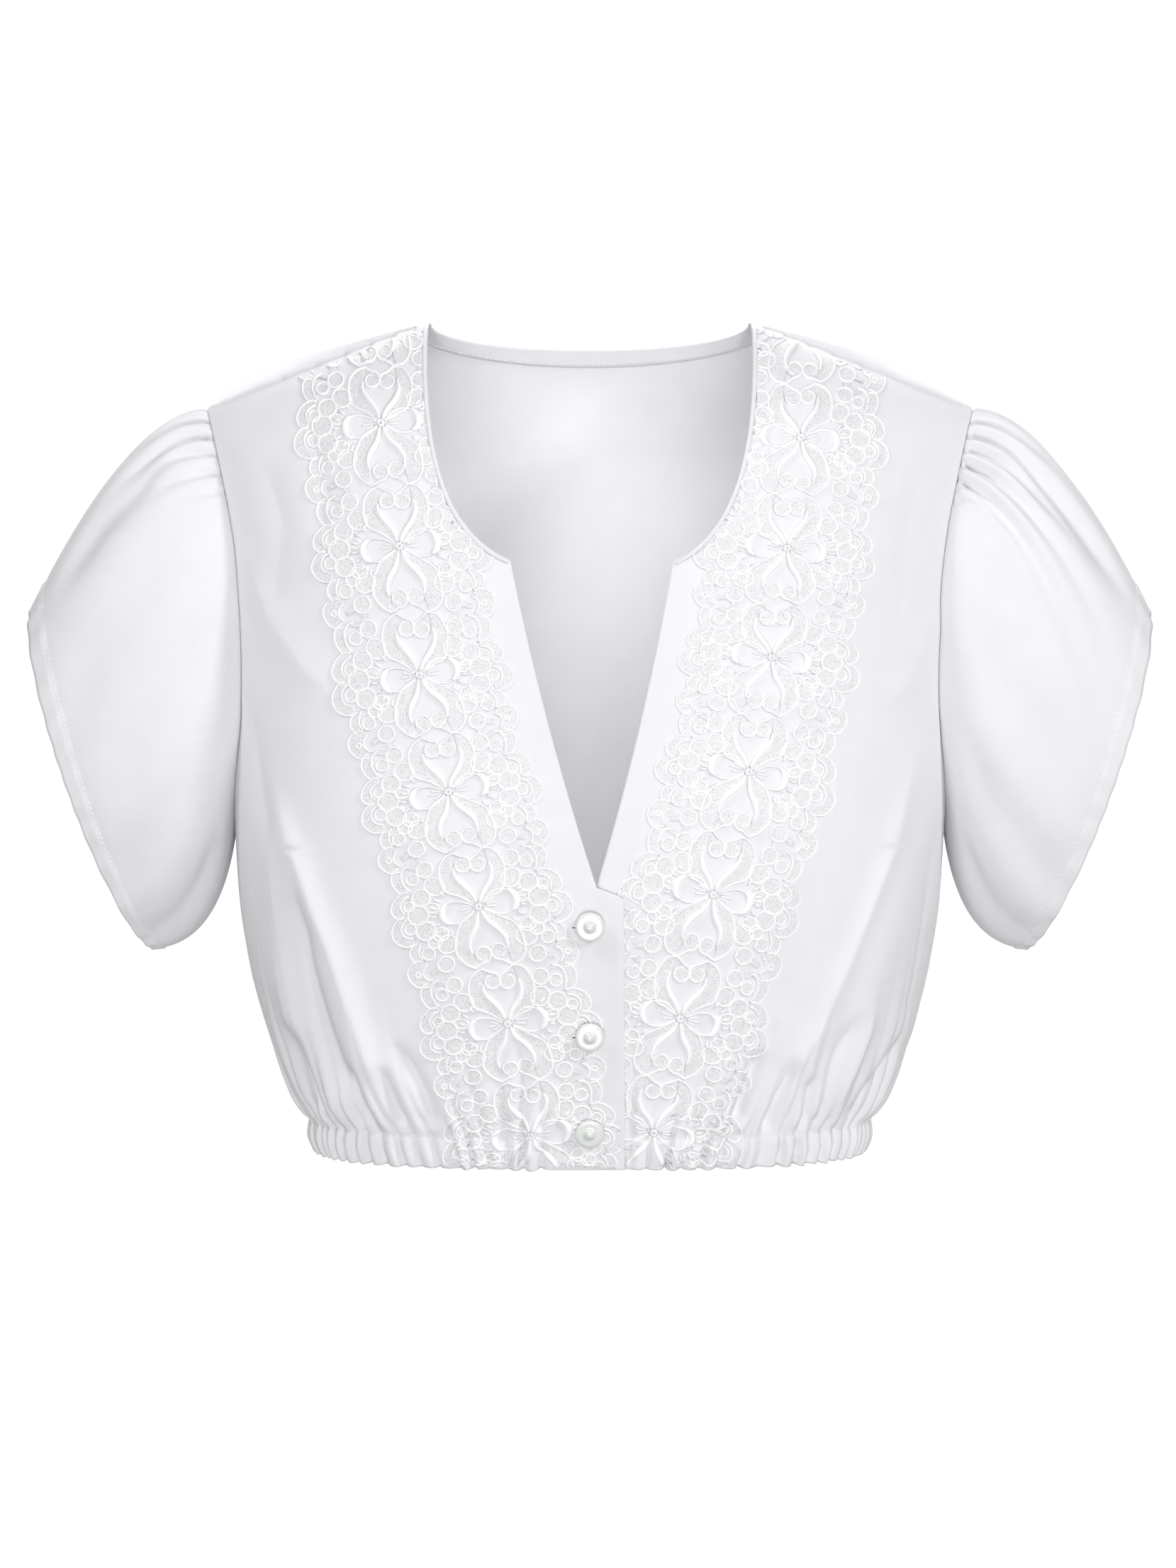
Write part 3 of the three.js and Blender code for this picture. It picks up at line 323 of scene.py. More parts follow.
def gather_wave(name, angle, z):
    """The gathers' wave round the elastic, their strength and how far each reaches up."""
    seam = math.pi / 2
    start = -seam if name == "back" else float(angle_at(FLAT_STAND[name] + 2.1, CASING_TOP_Z))
    count = 2 * CASING_GATHERS[name]
    i = np.arange(count + 1)
    inside = (i > 0) & (i < count)
    places = start + (seam - start) * (i + np.where(inside, uneven(i, SEEDS[name]) * 0.55, 0)) / count
    pair = i // 2
    strength = 0.9 + 1.0 * uneven(pair, SEEDS[name] + 5)
    reach = 7 + 32 * (uneven(pair, SEEDS[name] + 9) + 0.5) ** 2
    lean = angle + 0.0011 * np.clip(z - CASING_TOP_Z, -16, 30) * np.sin(7 * angle + SEEDS[name])
    phase = np.interp(lean, places, i)
    lump = 1.7 * np.abs(np.sin(math.pi * phase / 2)) ** 0.6 - 1
    return lump, np.interp(lean, places, strength), np.interp(lean, places, reach)


def gathers(name, angle, z):
    lump, strength, reach = gather_wave(name, angle, z)
    up = z - CASING_TOP_Z
    above = (0.5 + 0.8 * smooth(up / 5)) * np.exp(-np.clip(up, 0, 200) / reach)
    band = 0.85 + 0.65 * np.sin(math.pi * np.clip((z - HEM_Z + 3) / 19, 0, 1))
    return lump * strength * GATHER_DEPTH * np.where(up > 0, above, band)


def crease(x, z, line, rise, outer, inner):
    """A ridge, or a valley for a negative rise, along a line of the front view, fading at both ends."""
    line = np.array(line, float)
    steps = np.linalg.norm(np.diff(line, axis=0), axis=1)
    marks = np.concatenate([[0], np.cumsum(steps)]) / steps.sum()
    best = np.full(x.shape, 1e9)
    along = np.zeros(x.shape)
    signed = np.zeros(x.shape)
    for a, b, step, mark in zip(line, line[1:], steps, marks):
        d = (b - a) / step
        t = np.clip((x - a[0]) * d[0] + (z - a[1]) * d[1], 0, step)
        px, pz = x - a[0] - t * d[0], z - a[1] - t * d[1]
        gap = np.hypot(px, pz)
        nearer = gap < best
        best = np.where(nearer, gap, best)
        along = np.where(nearer, mark + t / steps.sum(), along)
        signed = np.where(nearer, pz * d[0] - px * d[1], signed)
    ends = smooth(along / 0.3) * smooth((1 - along) / 0.16)
    return rise * ends * np.exp(-(best / np.where(signed > 0, outer, inner)) ** 1.35)


# Long creases of the fronts in the front view: line (distance from the middle, height), rise, outer and
# inner half width
FRONT_CREASES = {
    "right": [
        ([(154, -206), (145, -236), (134.4, -262), (127.6, -281), (121.6, -295), (116.7, -309),
          (111.9, -323), (106.6, -339), (102.2, -351), (97.8, -362), (92.5, -374)], 3.2, 9.5, 4.5),
        ([(140, -262), (133.7, -289), (131.8, -304), (127.9, -319), (123, -335), (117.8, -351),
          (112.5, -372)], -3.2, 9.0, 3.6),
        ([(152, -235), (147.2, -294), (143.5, -321), (135.7, -350)], 1.5, 7.0, 7.0),
        ([(145, -330), (135, -358), (131, -370), (129.6, -382)], -1.9, 4.0, 3.0),
        ([(113.5, -350), (108.5, -371), (103.7, -383)], -3.4, 3.0, 3.0),
        ([(99, -350), (92.5, -370.5), (87.6, -383)], -3.4, 3.2, 3.0),
        ([(93, -338), (82.5, -356), (76.6, -368), (72.8, -383)], -3.0, 4.0, 3.0),
        ([(166, -106), (150, -144), (134, -166), (120, -176)], 1.4, 9.0, 8.0),
        ([(158, -62), (146, -96), (150, -140)], -1.0, 8.0, 8.0),
        ([(136, -44), (128, -70), (126, -104)], -0.8, 6.0, 6.0),
        ([(164, -176), (158, -214), (150, -250)], -1.3, 6.0, 5.0),
    ],
    "left": [
        ([(158, -195), (150, -222), (139.5, -255.5), (133.9, -270), (127.9, -285), (118, -309.6),
          (108.3, -332), (100.5, -346.7), (94.7, -361.5), (91.6, -380)], 2.4, 6.0, 3.2),
        ([(149, -338), (145, -349), (138.5, -357), (132.4, -364.6), (125.4, -374), (118.4, -384)],
         -2.6, 4.0, 2.6),
        ([(128, -326), (116.5, -347.6), (112.7, -360.5), (108.5, -382)], -2.6, 5.0, 4.0),
        ([(99, -346), (93.7, -358.5), (87.8, -369), (84, -378), (81.2, -386)], -3.4, 3.6, 3.0),
        ([(104, -356), (101.8, -370), (103.6, -384)], -2.4, 3.0, 3.0),
        ([(82, -342), (75.9, -357), (72, -365.7), (68.6, -380)], -2.8, 3.6, 3.0),
        ([(136, -322), (126.7, -348), (117, -370), (112.4, -384)], 2.0, 3.6, 3.0),
        ([(168, -232), (163, -268), (158, -305), (150, -340)], -1.2, 5.0, 5.0),
        ([(100, -262), (96, -296), (88, -330)], -1.2, 9.0, 8.0),
        ([(160, -64), (150, -104), (147, -150)], -0.9, 8.0, 8.0),
        ([(166, -132), (152, -168), (140, -186)], 1.2, 8.0, 8.0),
    ],
}
BACK_CREASES = [
    ([(150, -70), (120, -120), (95, -190)], -1.4, 11.0, 9.0),
    ([(-148, -72), (-118, -130), (-99, -200)], -1.4, 11.0, 9.0),
    ([(165, -196), (140, -250), (118, -318)], 2.4, 8.0, 4.0),
    ([(-166, -202), (-143, -255), (-112, -325)], 2.4, 4.0, 8.0),
    ([(62, -240), (52, -310), (55, -366)], -2.0, 6.0, 5.0),
    ([(-46, -226), (-55, -300), (-50, -360)], -2.0, 5.0, 6.0),
    ([(8, -232), (2, -300), (6, -352)], 1.6, 6.0, 5.0),
    ([(96, -290), (88, -340), (84, -378)], -2.6, 5.0, 4.0),
    ([(-98, -282), (-92, -336), (-84, -376)], -2.6, 4.0, 5.0),
    ([(30, -318), (26, -352), (29, -380)], -2.4, 4.0, 4.0),
    ([(-22, -326), (-26, -356), (-22, -380)], -2.4, 4.0, 4.0),
]


def hang(name, angle, z):
    """How far the cloth of a panel stands off the form."""
    angle, z = np.broadcast_arrays(np.asarray(angle, float), np.asarray(z, float))
    groove = -0.6 * np.exp(-((z - CASING_TOP_Z + 0.8) / 1.2) ** 2)
    face = BACK if name == "back" else FRONT
    x = body_point(1, face, angle, z)[..., 0]
    seam = outer_angle(z, face) - np.abs(angle)
    ditch = -0.5 * np.exp(-(seam * ring_depth[face](z) / 1.6) ** 2)
    if name == "back":
        stand = fold_rise(BACK_FOLDS, angle, z) + gathers(name, angle, z) + groove + ditch
        for row in BACK_CREASES:
            stand += crease(x, z, *row)
        return stand
    away = smooth((x - FLAT_STAND[name]) / 22)
    loose = smooth((x - FLAT_STAND[name]) / 5)
    stand = fold_rise(FRONT_FOLDS[name], angle, z) * away + ditch
    stand += (gathers(name, angle, z) + groove) * loose
    for row in FRONT_CREASES[name]:
        stand += CREASE_DEPTH * crease(x, z, *row) * smooth((z + 399) / 12)
    if name == "right":
        stand += OVERLAP_LIFT * smooth((36 - x) / 20) * smooth((-205 - z) / 50)
    return stand


def laid(name, angle, z, height):
    """Points at a height over a panel's cloth, in millimetres."""
    side, face = {"right": (-1, FRONT), "left": (1, FRONT), "back": (1, BACK)}[name]
    normal = outward(side, face, angle, z)
    off = hang(name, angle, z) + height
    points = body_point(side, face, angle, z) + normal * off[..., None]
    lump, strength, _ = gather_wave(name, angle, z)
    loose = 1 if name == "back" else smooth((np.abs(points[..., 0]) - FLAT_STAND[name]) / 5)
    points[..., 2] -= HEM_SCALLOP * lump * strength * loose * smooth((HEM_Z + 9 - z) / 9)
    return points


# The two fronts, of that cotton. Each is cut as one grid, moved point by point onto the form, and given the
# cloth's thickness inwards. The right front laps over the left one, and each front's inner edge runs up the
# button stand, the V and the neck.
CLOTH_THICKNESS = 0.0005
# Points of each front's inner edge in the front view: distance from the middle, height
FRONT_EDGES = {
    "right": {"foot": (-16.2, -385), "bend": (-16.0, -271.2), "vee": (-3.2, -266.5),
              "corner": (37.2, -114.5)},
    "left": {"foot": (-15.5, -385), "bend": (-15.5, -345), "vee": (3.4, -265),
             "corner": (38.8, -115.2)},
}
VEE_BOW = 2.4
FRONT_ROWS = {"casing": 14, "below": 66, "vee": 54, "neck": 46}
FRONT_COLUMNS = 176


def neck_curve(corner, t):
    a, b, c, d = (np.array(p, float) for p in (corner, (69, -100), (77.5, -62), (NECK_HALF_WIDTH, 0)))
    t = t[:, None]
    return a * (1 - t) ** 3 + 3 * b * (1 - t) ** 2 * t + 3 * c * (1 - t) * t * t + d * t ** 3


def front_edge_rows(name):
    """Rows of a front: inner edge's distance from the middle and height, outer edge's height."""
    edge = FRONT_EDGES[name]
    (foot_x, foot_z), (bend_x, bend_z) = edge["foot"], edge["bend"]
    (vee_x, vee_z), (corner_x, corner_z) = edge["vee"], edge["corner"]
    t = np.linspace(0, 1, FRONT_ROWS["casing"] + 1)[:-1]
    z = HEM_Z + (CASING_TOP_Z - HEM_Z) * t
    rows = [np.stack([np.full_like(z, foot_x), z, z], 1)]
    t = np.linspace(0, 1, FRONT_ROWS["below"] + 1)[:-1]
    z = foot_z + (vee_z - foot_z) * t
    x = np.interp(z, [foot_z, bend_z, vee_z], [foot_x, bend_x, vee_x])
    rows.append(np.stack([x, z, CASING_TOP_Z + (UNDERARM_Z - CASING_TOP_Z) * t], 1))
    t = np.linspace(0, 1, FRONT_ROWS["vee"] + 1)[:-1]
    x = vee_x + (corner_x - vee_x) * t + VEE_BOW * 4 * t * (1 - t)
    rows.append(np.stack([x, vee_z + (corner_z - vee_z) * t, UNDERARM_Z + (UNDERARM_Z + 132) * -t], 1))
    t = np.linspace(0, 1, FRONT_ROWS["neck"] + 1)
    neck = neck_curve((corner_x, corner_z), 1 - (1 - t) ** 1.4)
    rows.append(np.stack([neck[:, 0], neck[:, 1], -132 + (SHOULDER_Z + 132) * (1 - (1 - t) ** 1.6)], 1))
    return np.concatenate(rows)


def grid_piece(name, points, cloth_size, mirrored, closed=False):
    """A grid whose points are moved to the given rows (in millimetres) and made a thin sheet of cotton."""
    rows, columns = points.shape[:2]
    form = bmesh.new()
    threads = form.loops.layers.uv.new("UVMap")
    bmesh.ops.create_grid(form, x_segments=columns - 1, y_segments=rows - 1, size=0.5, calc_uvs=True)
    for corner_face in form.faces:
        for loop in corner_face.loops:
            u, v = loop.vert.co.x + 0.5, loop.vert.co.y + 0.5
            loop[threads].uv = (u * cloth_size[0], v * cloth_size[1])
    for vertex in form.verts:
        i = round((vertex.co.x + 0.5) * (columns - 1))
        j = round((vertex.co.y + 0.5) * (rows - 1))
        vertex.co = points[j, i] * 0.001
    if closed:
        bmesh.ops.remove_doubles(form, verts=form.verts, dist=1e-7)
    if mirrored:
        bmesh.ops.reverse_faces(form, faces=form.faces)
    data = bpy.data.meshes.new(name)
    form.to_mesh(data)
    form.free()
    for polygon in data.polygons:
        polygon.use_smooth = True
    data.materials.append(cotton)
    piece = bpy.data.objects.new(name, data)
    scene.collection.objects.link(piece)
    wall = piece.modifiers.new("thickness", "SOLIDIFY")
    wall.thickness = CLOTH_THICKNESS
    wall.offset = -1
    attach(piece, "root")
    return piece


def front_points(name):
    rows = front_edge_rows(name)
    share = np.linspace(0, 1, FRONT_COLUMNS + 1)[None, :]
    inner_x, inner_z, outer_z = (rows[:, k][:, None] for k in range(3))
    start = angle_at(inner_x, inner_z)
    angle = start + (outer_angle(outer_z, FRONT) - start) * share
    z = inner_z + (outer_z - inner_z) * share
    return laid(name, angle, z, np.zeros_like(z))


front_right = grid_piece("front_right_cloth", front_points("right"), (0.26, 0.42), True)
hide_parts("front_right", "hem_casing_right")
front_left = grid_piece("front_left_cloth", front_points("left"), (0.26, 0.42), False)
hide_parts("front_left", "hem_casing_left")

# The back is one piece from side seam to side seam, with a shallow neck.
# It is sewn to the fronts at the shoulders and the sides, and gathered on the same elastic.
BACK_NECK_Z = -11.0
BACK_ROWS = {"casing": 14, "below": 60, "above": 96}
BACK_COLUMNS = {"shoulder": 44, "neck": 132}
BINDING_WIDTH = 9.0
BINDING_COLUMNS = 150
BINDING_LIFT = -0.62  # it lies inside the back
BINDING_LAP = 1.6  # how far it reaches over the top of the back's cloth


def back_neck_z(x):
    share = np.clip(np.abs(x) / NECK_HALF_WIDTH, 0, 1)
    return BACK_NECK_Z * np.sqrt(1 - share ** 2.2)


def back_neck_points(count):
    """Points round the back neck, even in length: distance from the middle, height, angle."""
    x = NECK_HALF_WIDTH * np.sin(np.linspace(-math.pi / 2, math.pi / 2, 400))
    z = back_neck_z(x)
    p = body_point(1, BACK, angle_at(x, z), z)
    length = np.concatenate([[0], np.cumsum(np.linalg.norm(np.diff(p, axis=0), axis=1))])
    x = np.interp(np.linspace(0, length[-1], count), length, x)
    return x, back_neck_z(x), angle_at(x, back_neck_z(x))


def under_neck(step):
    """Points of the back so many millimetres in from its neck edge: distance from the middle, height."""
    _, edge_z, edge_angle = back_neck_points(BINDING_COLUMNS + 1)
    plan = laid("back", edge_angle, edge_z, np.full_like(edge_z, BINDING_LIFT))[:, :2]
    direction = np.gradient(plan, axis=0)
    aside = np.stack([-direction[:, 1], direction[:, 0]], 1)
    aside /= np.linalg.norm(aside, axis=1, keepdims=True)
    spot = plan + aside * step
    spot[:, 0] = np.clip(spot[:, 0], -NECK_HALF_WIDTH - BINDING_WIDTH, NECK_HALF_WIDTH + BINDING_WIDTH)
    high = shoulder_height(np.abs(spot[:, 0]))
    low = high - SHOULDER_ROUND[BACK]
    for _ in range(30):
        middle = (high + low) / 2
        inside = body_point(1, BACK, angle_at(spot[:, 0], middle), middle)[:, 1] < spot[:, 1]
        high = np.where(inside, middle, high)
        low = np.where(inside, low, middle)
    return spot[:, 0], middle


def back_points():
    shoulder = np.linspace(NECK_HALF_WIDTH, SHOULDER_X, BACK_COLUMNS["shoulder"] + 1)[1:]
    neck_x, neck_z, _ = back_neck_points(BACK_COLUMNS["neck"] + 1)
    cloth_end = np.interp(neck_x, *under_neck(BINDING_WIDTH - BINDING_LAP))
    neck_z += (cloth_end - neck_z) * smooth((NECK_HALF_WIDTH - np.abs(neck_x)) / 7)
    x = np.concatenate([-shoulder[::-1], neck_x, shoulder])
    slope = shoulder_height(shoulder)
    z = np.concatenate([slope[::-1], neck_z, slope])
    top_angle = angle_at(x, z)
    even = np.linspace(-1, 1, len(x))
    lines = []
    low = np.linspace(HEM_Z, CASING_TOP_Z, BACK_ROWS["casing"] + 1)[:-1]
    low = np.concatenate([low, np.linspace(CASING_TOP_Z, UNDERARM_Z, BACK_ROWS["below"] + 1)[:-1]])
    for height in low:
        lines.append((even * float(outer_angle(height, BACK)), np.full_like(x, height)))
    for t in np.linspace(0, 1, BACK_ROWS["above"] + 1):
        rise = 1 - (1 - t) ** 1.7
        edge_z = UNDERARM_Z + (SHOULDER_Z - UNDERARM_Z) * rise
        share = even + (top_angle / top_angle[-1] - even) * rise ** 8
        height = UNDERARM_Z + (z - UNDERARM_Z) * rise
        lines.append((share * float(outer_angle(edge_z, BACK)), height))
    angle = np.array([line[0] for line in lines])
    height = np.array([line[1] for line in lines])
    return laid("back", angle, height, np.zeros_like(height))


back = grid_piece("back_cloth", back_points(), (0.50, 0.40), True)
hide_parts("back", "hem_casing_back")

# Binding round the back neck: a strip of the same cotton, 9 mm wide, that makes the neck's edge.
# Its lower edge laps inside the top of the back's cloth and is stitched down.
BINDING_SEAM = 1.3  # how far its stitches are from its lower edge
binding_rows = []
for step in np.linspace(0, 1, 9):
    x, z = under_neck(BINDING_WIDTH * step)
    lift = BINDING_LIFT + 0.25 * math.exp(-((step - 0.86) / 0.05) ** 2)
    binding_rows.append(laid("back", angle_at(x, z), z, np.full_like(z, lift)))
binding = grid_piece("neck_binding_cloth", np.array(binding_rows[::-1]), (0.21, 0.009), True)
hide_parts("neck_binding")

# Sleeves: short, gathered into the crown and open at a narrow stitched hem.
# Every thread of a sleeve runs in one bend from the armhole seam to the hem oval.
SLEEVE_HEM = {"middle": (240.5, 3, -221), "up": (28.4, -2, 83.6), "forward": (11, -46, 0)}
SLEEVE_BEND = {"middle": (200, 2, -171), "up": (22, 0, 131), "forward": (7, -74, 0)}
SLEEVE_COLUMNS, SLEEVE_ROWS = 340, 96
SLEEVE_ROW_BIAS = 1.15  # rows crowd a little towards the armhole
HEM_SHARE = 0.925  # where the hem's stitches run, as a share of the way down the sleeve
# Gathers at the crown: place round the armhole (0 is the shoulder, positive to the front), depth,
# reach down the sleeve, drift round it, half width
CROWN_GATHERS = {
    "right": [
        (-0.142, 2.4, 0.50, -0.05, 0.0070), (-0.113, 3.2, 0.80, -0.05, 0.0080),
        (-0.084, 2.6, 0.48, -0.03, 0.0070), (-0.056, 3.6, 0.70, -0.02, 0.0080),
        (-0.028, 2.6, 0.46, 0.0, 0.0070), (0.004, 2.8, 0.60, 0.0, 0.0064),
        (0.026, 3.2, 0.52, 0.01, 0.0060), (0.048, 4.2, 0.66, 0.02, 0.0072),
        (0.070, 3.0, 0.42, 0.01, 0.0060), (0.092, 2.6, 0.40, 0.03, 0.0060),
        (0.114, 1.8, 0.24, 0.03, 0.0060),
    ],
    "left": [
        (-0.140, 2.4, 0.50, -0.05, 0.0070), (-0.111, 3.2, 0.75, -0.05, 0.0080),
        (-0.082, 2.6, 0.48, -0.03, 0.0070), (-0.054, 3.4, 0.66, -0.02, 0.0080),
        (-0.024, 2.6, 0.50, 0.0, 0.0070), (0.006, 3.0, 0.74, 0.01, 0.0064),
        (0.027, 3.2, 0.50, 0.03, 0.0058), (0.045, 4.2, 0.95, 0.06, 0.0070),
        (0.063, 3.2, 0.62, 0.08, 0.0060), (0.080, 4.0, 0.90, 0.10, 0.0070),
        (0.099, 3.6, 0.80, 0.13, 0.0075), (0.122, 2.0, 0.36, 0.06, 0.0060),
    ],
}
# Broad soft folds further down: place, drift, depth, start and end down the sleeve, half width
SLEEVE_FOLDS = [
    (0.07, 0.03, 2.6, 0.22, 0.92, 0.024), (0.155, 0.05, 1.2, 0.2, 1.0, 0.03),
    (0.24, 0.05, 1.4, 0.05, 0.9, 0.028), (0.33, 0.03, 1.8, 0.1, 1.05, 0.026),
    (0.42, 0.02, 2.0, 0.15, 1.05, 0.022), (-0.1, -0.05, 1.8, 0.25, 1.0, 0.03),
    (-0.2, -0.05, 1.7, 0.1, 1.0, 0.03), (-0.31, -0.03, 1.8, 0.1, 1.0, 0.03),
    (-0.41, -0.02, 1.8, 0.15, 1.0, 0.028),
]
SLEEVE_FOLD_DEPTH = 1.6
CROWN_DEPTH = 1.3
HEM_PUCKER = 0.35


def armhole_loop(name):
    """The armhole seam as a closed line that starts at the shoulder and runs down the front first."""
    side = -1 if name == "right" else 1
    down = SHOULDER_Z + (UNDERARM_Z - SHOULDER_Z) * np.linspace(0, 1, 120) ** 1.6
    front = laid(name, outer_angle(down, FRONT), down, np.zeros_like(down))
    up = down[::-1]
    rear = laid("back", side * outer_angle(up, BACK), up, np.zeros_like(up))
    loop = np.concatenate([front, rear])
    steps = np.linalg.norm(np.diff(loop, axis=0, append=loop[:1]), axis=1)
    marks = np.concatenate([[0], np.cumsum(steps)]) / steps.sum()
    closed = np.concatenate([loop, loop[:1]])
    return lambda share: np.stack([np.interp(share % 1.0, marks, closed[:, k]) for k in range(3)], -1)


def oval(shape, side, share):
    turn = 2 * math.pi * share[..., None]
    middle, up, forward = (np.array(shape[k], float) for k in ("middle", "up", "forward"))
    point = middle + up * np.cos(turn) + forward * np.sin(turn)
    return point * np.array([side, 1, 1])


def sleeve_points(name):
    side = -1 if name == "right" else 1
    share = np.linspace(0, 1, SLEEVE_COLUMNS + 1)
    # Columns crowd at the crown, where the gathers are
    share = share - 0.055 * np.sin(2 * math.pi * share)
    v = np.linspace(0, 1, SLEEVE_ROWS + 1)[:, None, None] ** SLEEVE_ROW_BIAS
    start = armhole_loop(name)(share)
    bend, end = oval(SLEEVE_BEND, side, share), oval(SLEEVE_HEM, side, share)
    points = start * (1 - v) ** 2 + 2 * bend * v * (1 - v) + end * v * v
    v = v[..., 0]
    signed = np.where(share > 0.5, share - 1, share)[None, :]
    off = np.zeros(points.shape[:2])
    for at, depth, reach, drift, width in CROWN_GATHERS[name]:
        fade = np.clip(1 - v / reach, 0, 1) ** 1.1
        spread = width * (0.55 + 1.7 * v)
        away = (signed - at - drift * v) / spread
        banks = 0.3 * np.exp(-((np.abs(away) - 1.9) / 0.9) ** 2)
        off -= CROWN_DEPTH * depth * fade * (np.exp(-np.abs(away) ** 1.6) - banks)
    off *= 0.25 + 0.75 * smooth(v / 0.05)
    for at, drift, depth, first, last, width in SLEEVE_FOLDS:
        away = (signed - at - drift * v) / width
        ends = smooth((v - first) / 0.25) * smooth((last - v) / 0.25)
        off -= SLEEVE_FOLD_DEPTH * depth * ends * np.exp(-away * away)
    off -= 0.4 * np.exp(-(v / 0.012) ** 2)
    band = smooth((v - HEM_SHARE) / 0.008)
    off += 0.45 * band - 0.4 * np.exp(-((v - HEM_SHARE) / 0.007) ** 2)
    around = share[None, :] * 2 * math.pi
    off += HEM_PUCKER * band * np.sin(31 * around + 9 * v + 3 * np.sin(4 * around))
    ring = np.concatenate([points[:, -2:-1], points, points[:, 1:2]], axis=1)
    across = ring[:, 2:] - ring[:, :-2]
    along = np.gradient(points, axis=0)
    normal = np.cross(across, along) * side
    normal /= np.linalg.norm(normal, axis=-1, keepdims=True)
    points = points + normal * off[..., None]
    points[:, -1] = points[:, 0]
    return points


for name in ("right", "left"):
    mirrored = name == "right"
    sleeve = grid_piece(f"sleeve_{name}_cloth", sleeve_points(name), (0.5, 0.14), mirrored, closed=True)
    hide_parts(f"sleeve_{name}")

# The lace: a heavy guipure band along each front edge, about 85 mm wide. One flower repeats along it: two
# padded loops, four padded arms that end in curls, clusters of rings and a scalloped border, all corded
# over a fine net and laid on the front's cloth. Bare cloth shows in its gaps.
REPEAT = 57.0  # length of one flower's pattern along the band
# The flowers' eyes down each front in the front view: distance from the middle, height
FLOWERS = {
    "right": [(110, 121), (108, 63), (104.5, 6), (98.6, -50), (89.2, -107.9), (79.6, -168), (65.9, -222.1),
              (51.8, -275.5), (38.4, -330.7), (27.5, -384), (17, -440), (6, -496)],
    "left": [(106, 108), (105, 52), (103, -3), (99.4, -57), (92.2, -109), (85, -160), (74.1, -213),
             (57.5, -270), (42.3, -328.4), (30, -383), (18, -440), (6, -496)],
}
# One repeat is drawn flat, in millimetres from the eye of its flower: outward across the band, up along it.
# Each arm with the leaf of net beside it: arm line, leaf outline, the lobe its tip curls into (eye, radius)
LEAVES = [
    ([(-0.6, 1.2), (-3.6, 6.1), (-7.5, 9.9), (-10.0, 14.2), (-10.3, 17.4), (-9.4, 20.2)],
     [(-1.5, 1), (-8.2, 3.7), (-12.8, 5.2), (-15.2, 10.8), (-16.4, 16.1), (-15.4, 21.2), (-12.5, 25.6),
      (-8.4, 26.8)], (-4.9, 20.0, 4.0)),
    ([(0.4, 1.4), (1.1, 5.6), (3.4, 10.2), (6.2, 14.6), (7.2, 18), (6.6, 21.2)],
     [(1.2, 1), (7, 6.5), (13.2, 10.7), (14.3, 17), (13.1, 23.2), (9.6, 26.8), (5.6, 28)],
     (2.6, 21.4, 3.9)),
    ([(-0.8, -1.2), (-2.4, -6.9), (-6.3, -11.9), (-8.7, -16.4), (-8.9, -20.2), (-7.8, -23)],
     [(-1.5, -1), (-11, -8.3), (-15, -11.6), (-16.7, -17.7), (-16.5, -24.6), (-13.3, -29), (-8.6, -30)],
     (-4.4, -22.4, 3.9)),
    ([(0.3, -1.4), (3.1, -8.4), (6.8, -13), (8.4, -17), (8.2, -20), (7.4, -22)],
     [(1.2, -1), (8.9, -4.6), (12.4, -9.2), (15, -14.8), (15.2, -20.3), (12.1, -25.4), (8.4, -28.2)],
     (3.6, -22.4, 3.9)),
]
ARM_WIDTH = [1.0, 1.8, 2.5, 2.9, 2.4, 1.5, 0.8]
# The two loops: outline from the eye and back, line of the padded end
LOOPS = [
    ([(-1.6, 0.4), (-7, 5), (-12.3, 5.7), (-16.4, 3.4), (-17.6, -1), (-15.6, -5), (-10.5, -6), (-5.6, -3.6),
      (-1.6, -0.5)], [(-14.4, 5.4), (-17.2, 2.6), (-18, -0.8), (-16.9, -4), (-14, -5.8)]),
    ([(1.6, 0.5), (6.6, 3.9), (12.4, 5.2), (16.2, 3.4), (17.2, -0.5), (15.2, -4.3), (10.2, -5.4),
      (5.2, -3.4), (1.6, -0.4)], [(13.8, 5.2), (16.8, 3), (17.6, -0.4), (16.4, -3.8), (13.6, -5.2)]),
]
VEINS = [
    [(-3, 0.8), (-8.5, 3)], [(-3, 0.3), (-9.8, 0.9)], [(-3, -0.3), (-8.6, -1.6)],
    [(3, 0.7), (8.4, 2.4)], [(3, 0.1), (9.6, 0.2)], [(3, -0.5), (8, -2)],
]
# Rings and ovals of cord filled with net: outward, up, long radius, short radius, turn in degrees.
# The outer half is given; the inner half is its mirror image, a little lower.
RINGS = [
    (17.9, 14.4, 4.4, 3.8, 40), (25.2, 10.6, 4.0, 3.8, 0), (28.6, 2.6, 4.5, 4.2, 0),
    (26.8, -5.6, 4.3, 4.0, 0), (20.4, -8.6, 3.4, 3.0, 0), (18.4, -14.0, 4.3, 3.8, -20),
    (21.2, 4.6, 3.0, 2.2, 20), (24.0, -11.6, 3.0, 2.8, 0), (20.2, 23.4, 3.5, 3.4, 0),
    (21.4, -23.0, 3.6, 3.4, 0), (26.8, 20.2, 2.7, 2.6, 0), (28.2, -16.4, 2.8, 2.7, 0),
]
RING_FULLNESS = 1.1
INNER_DROP = 4.6
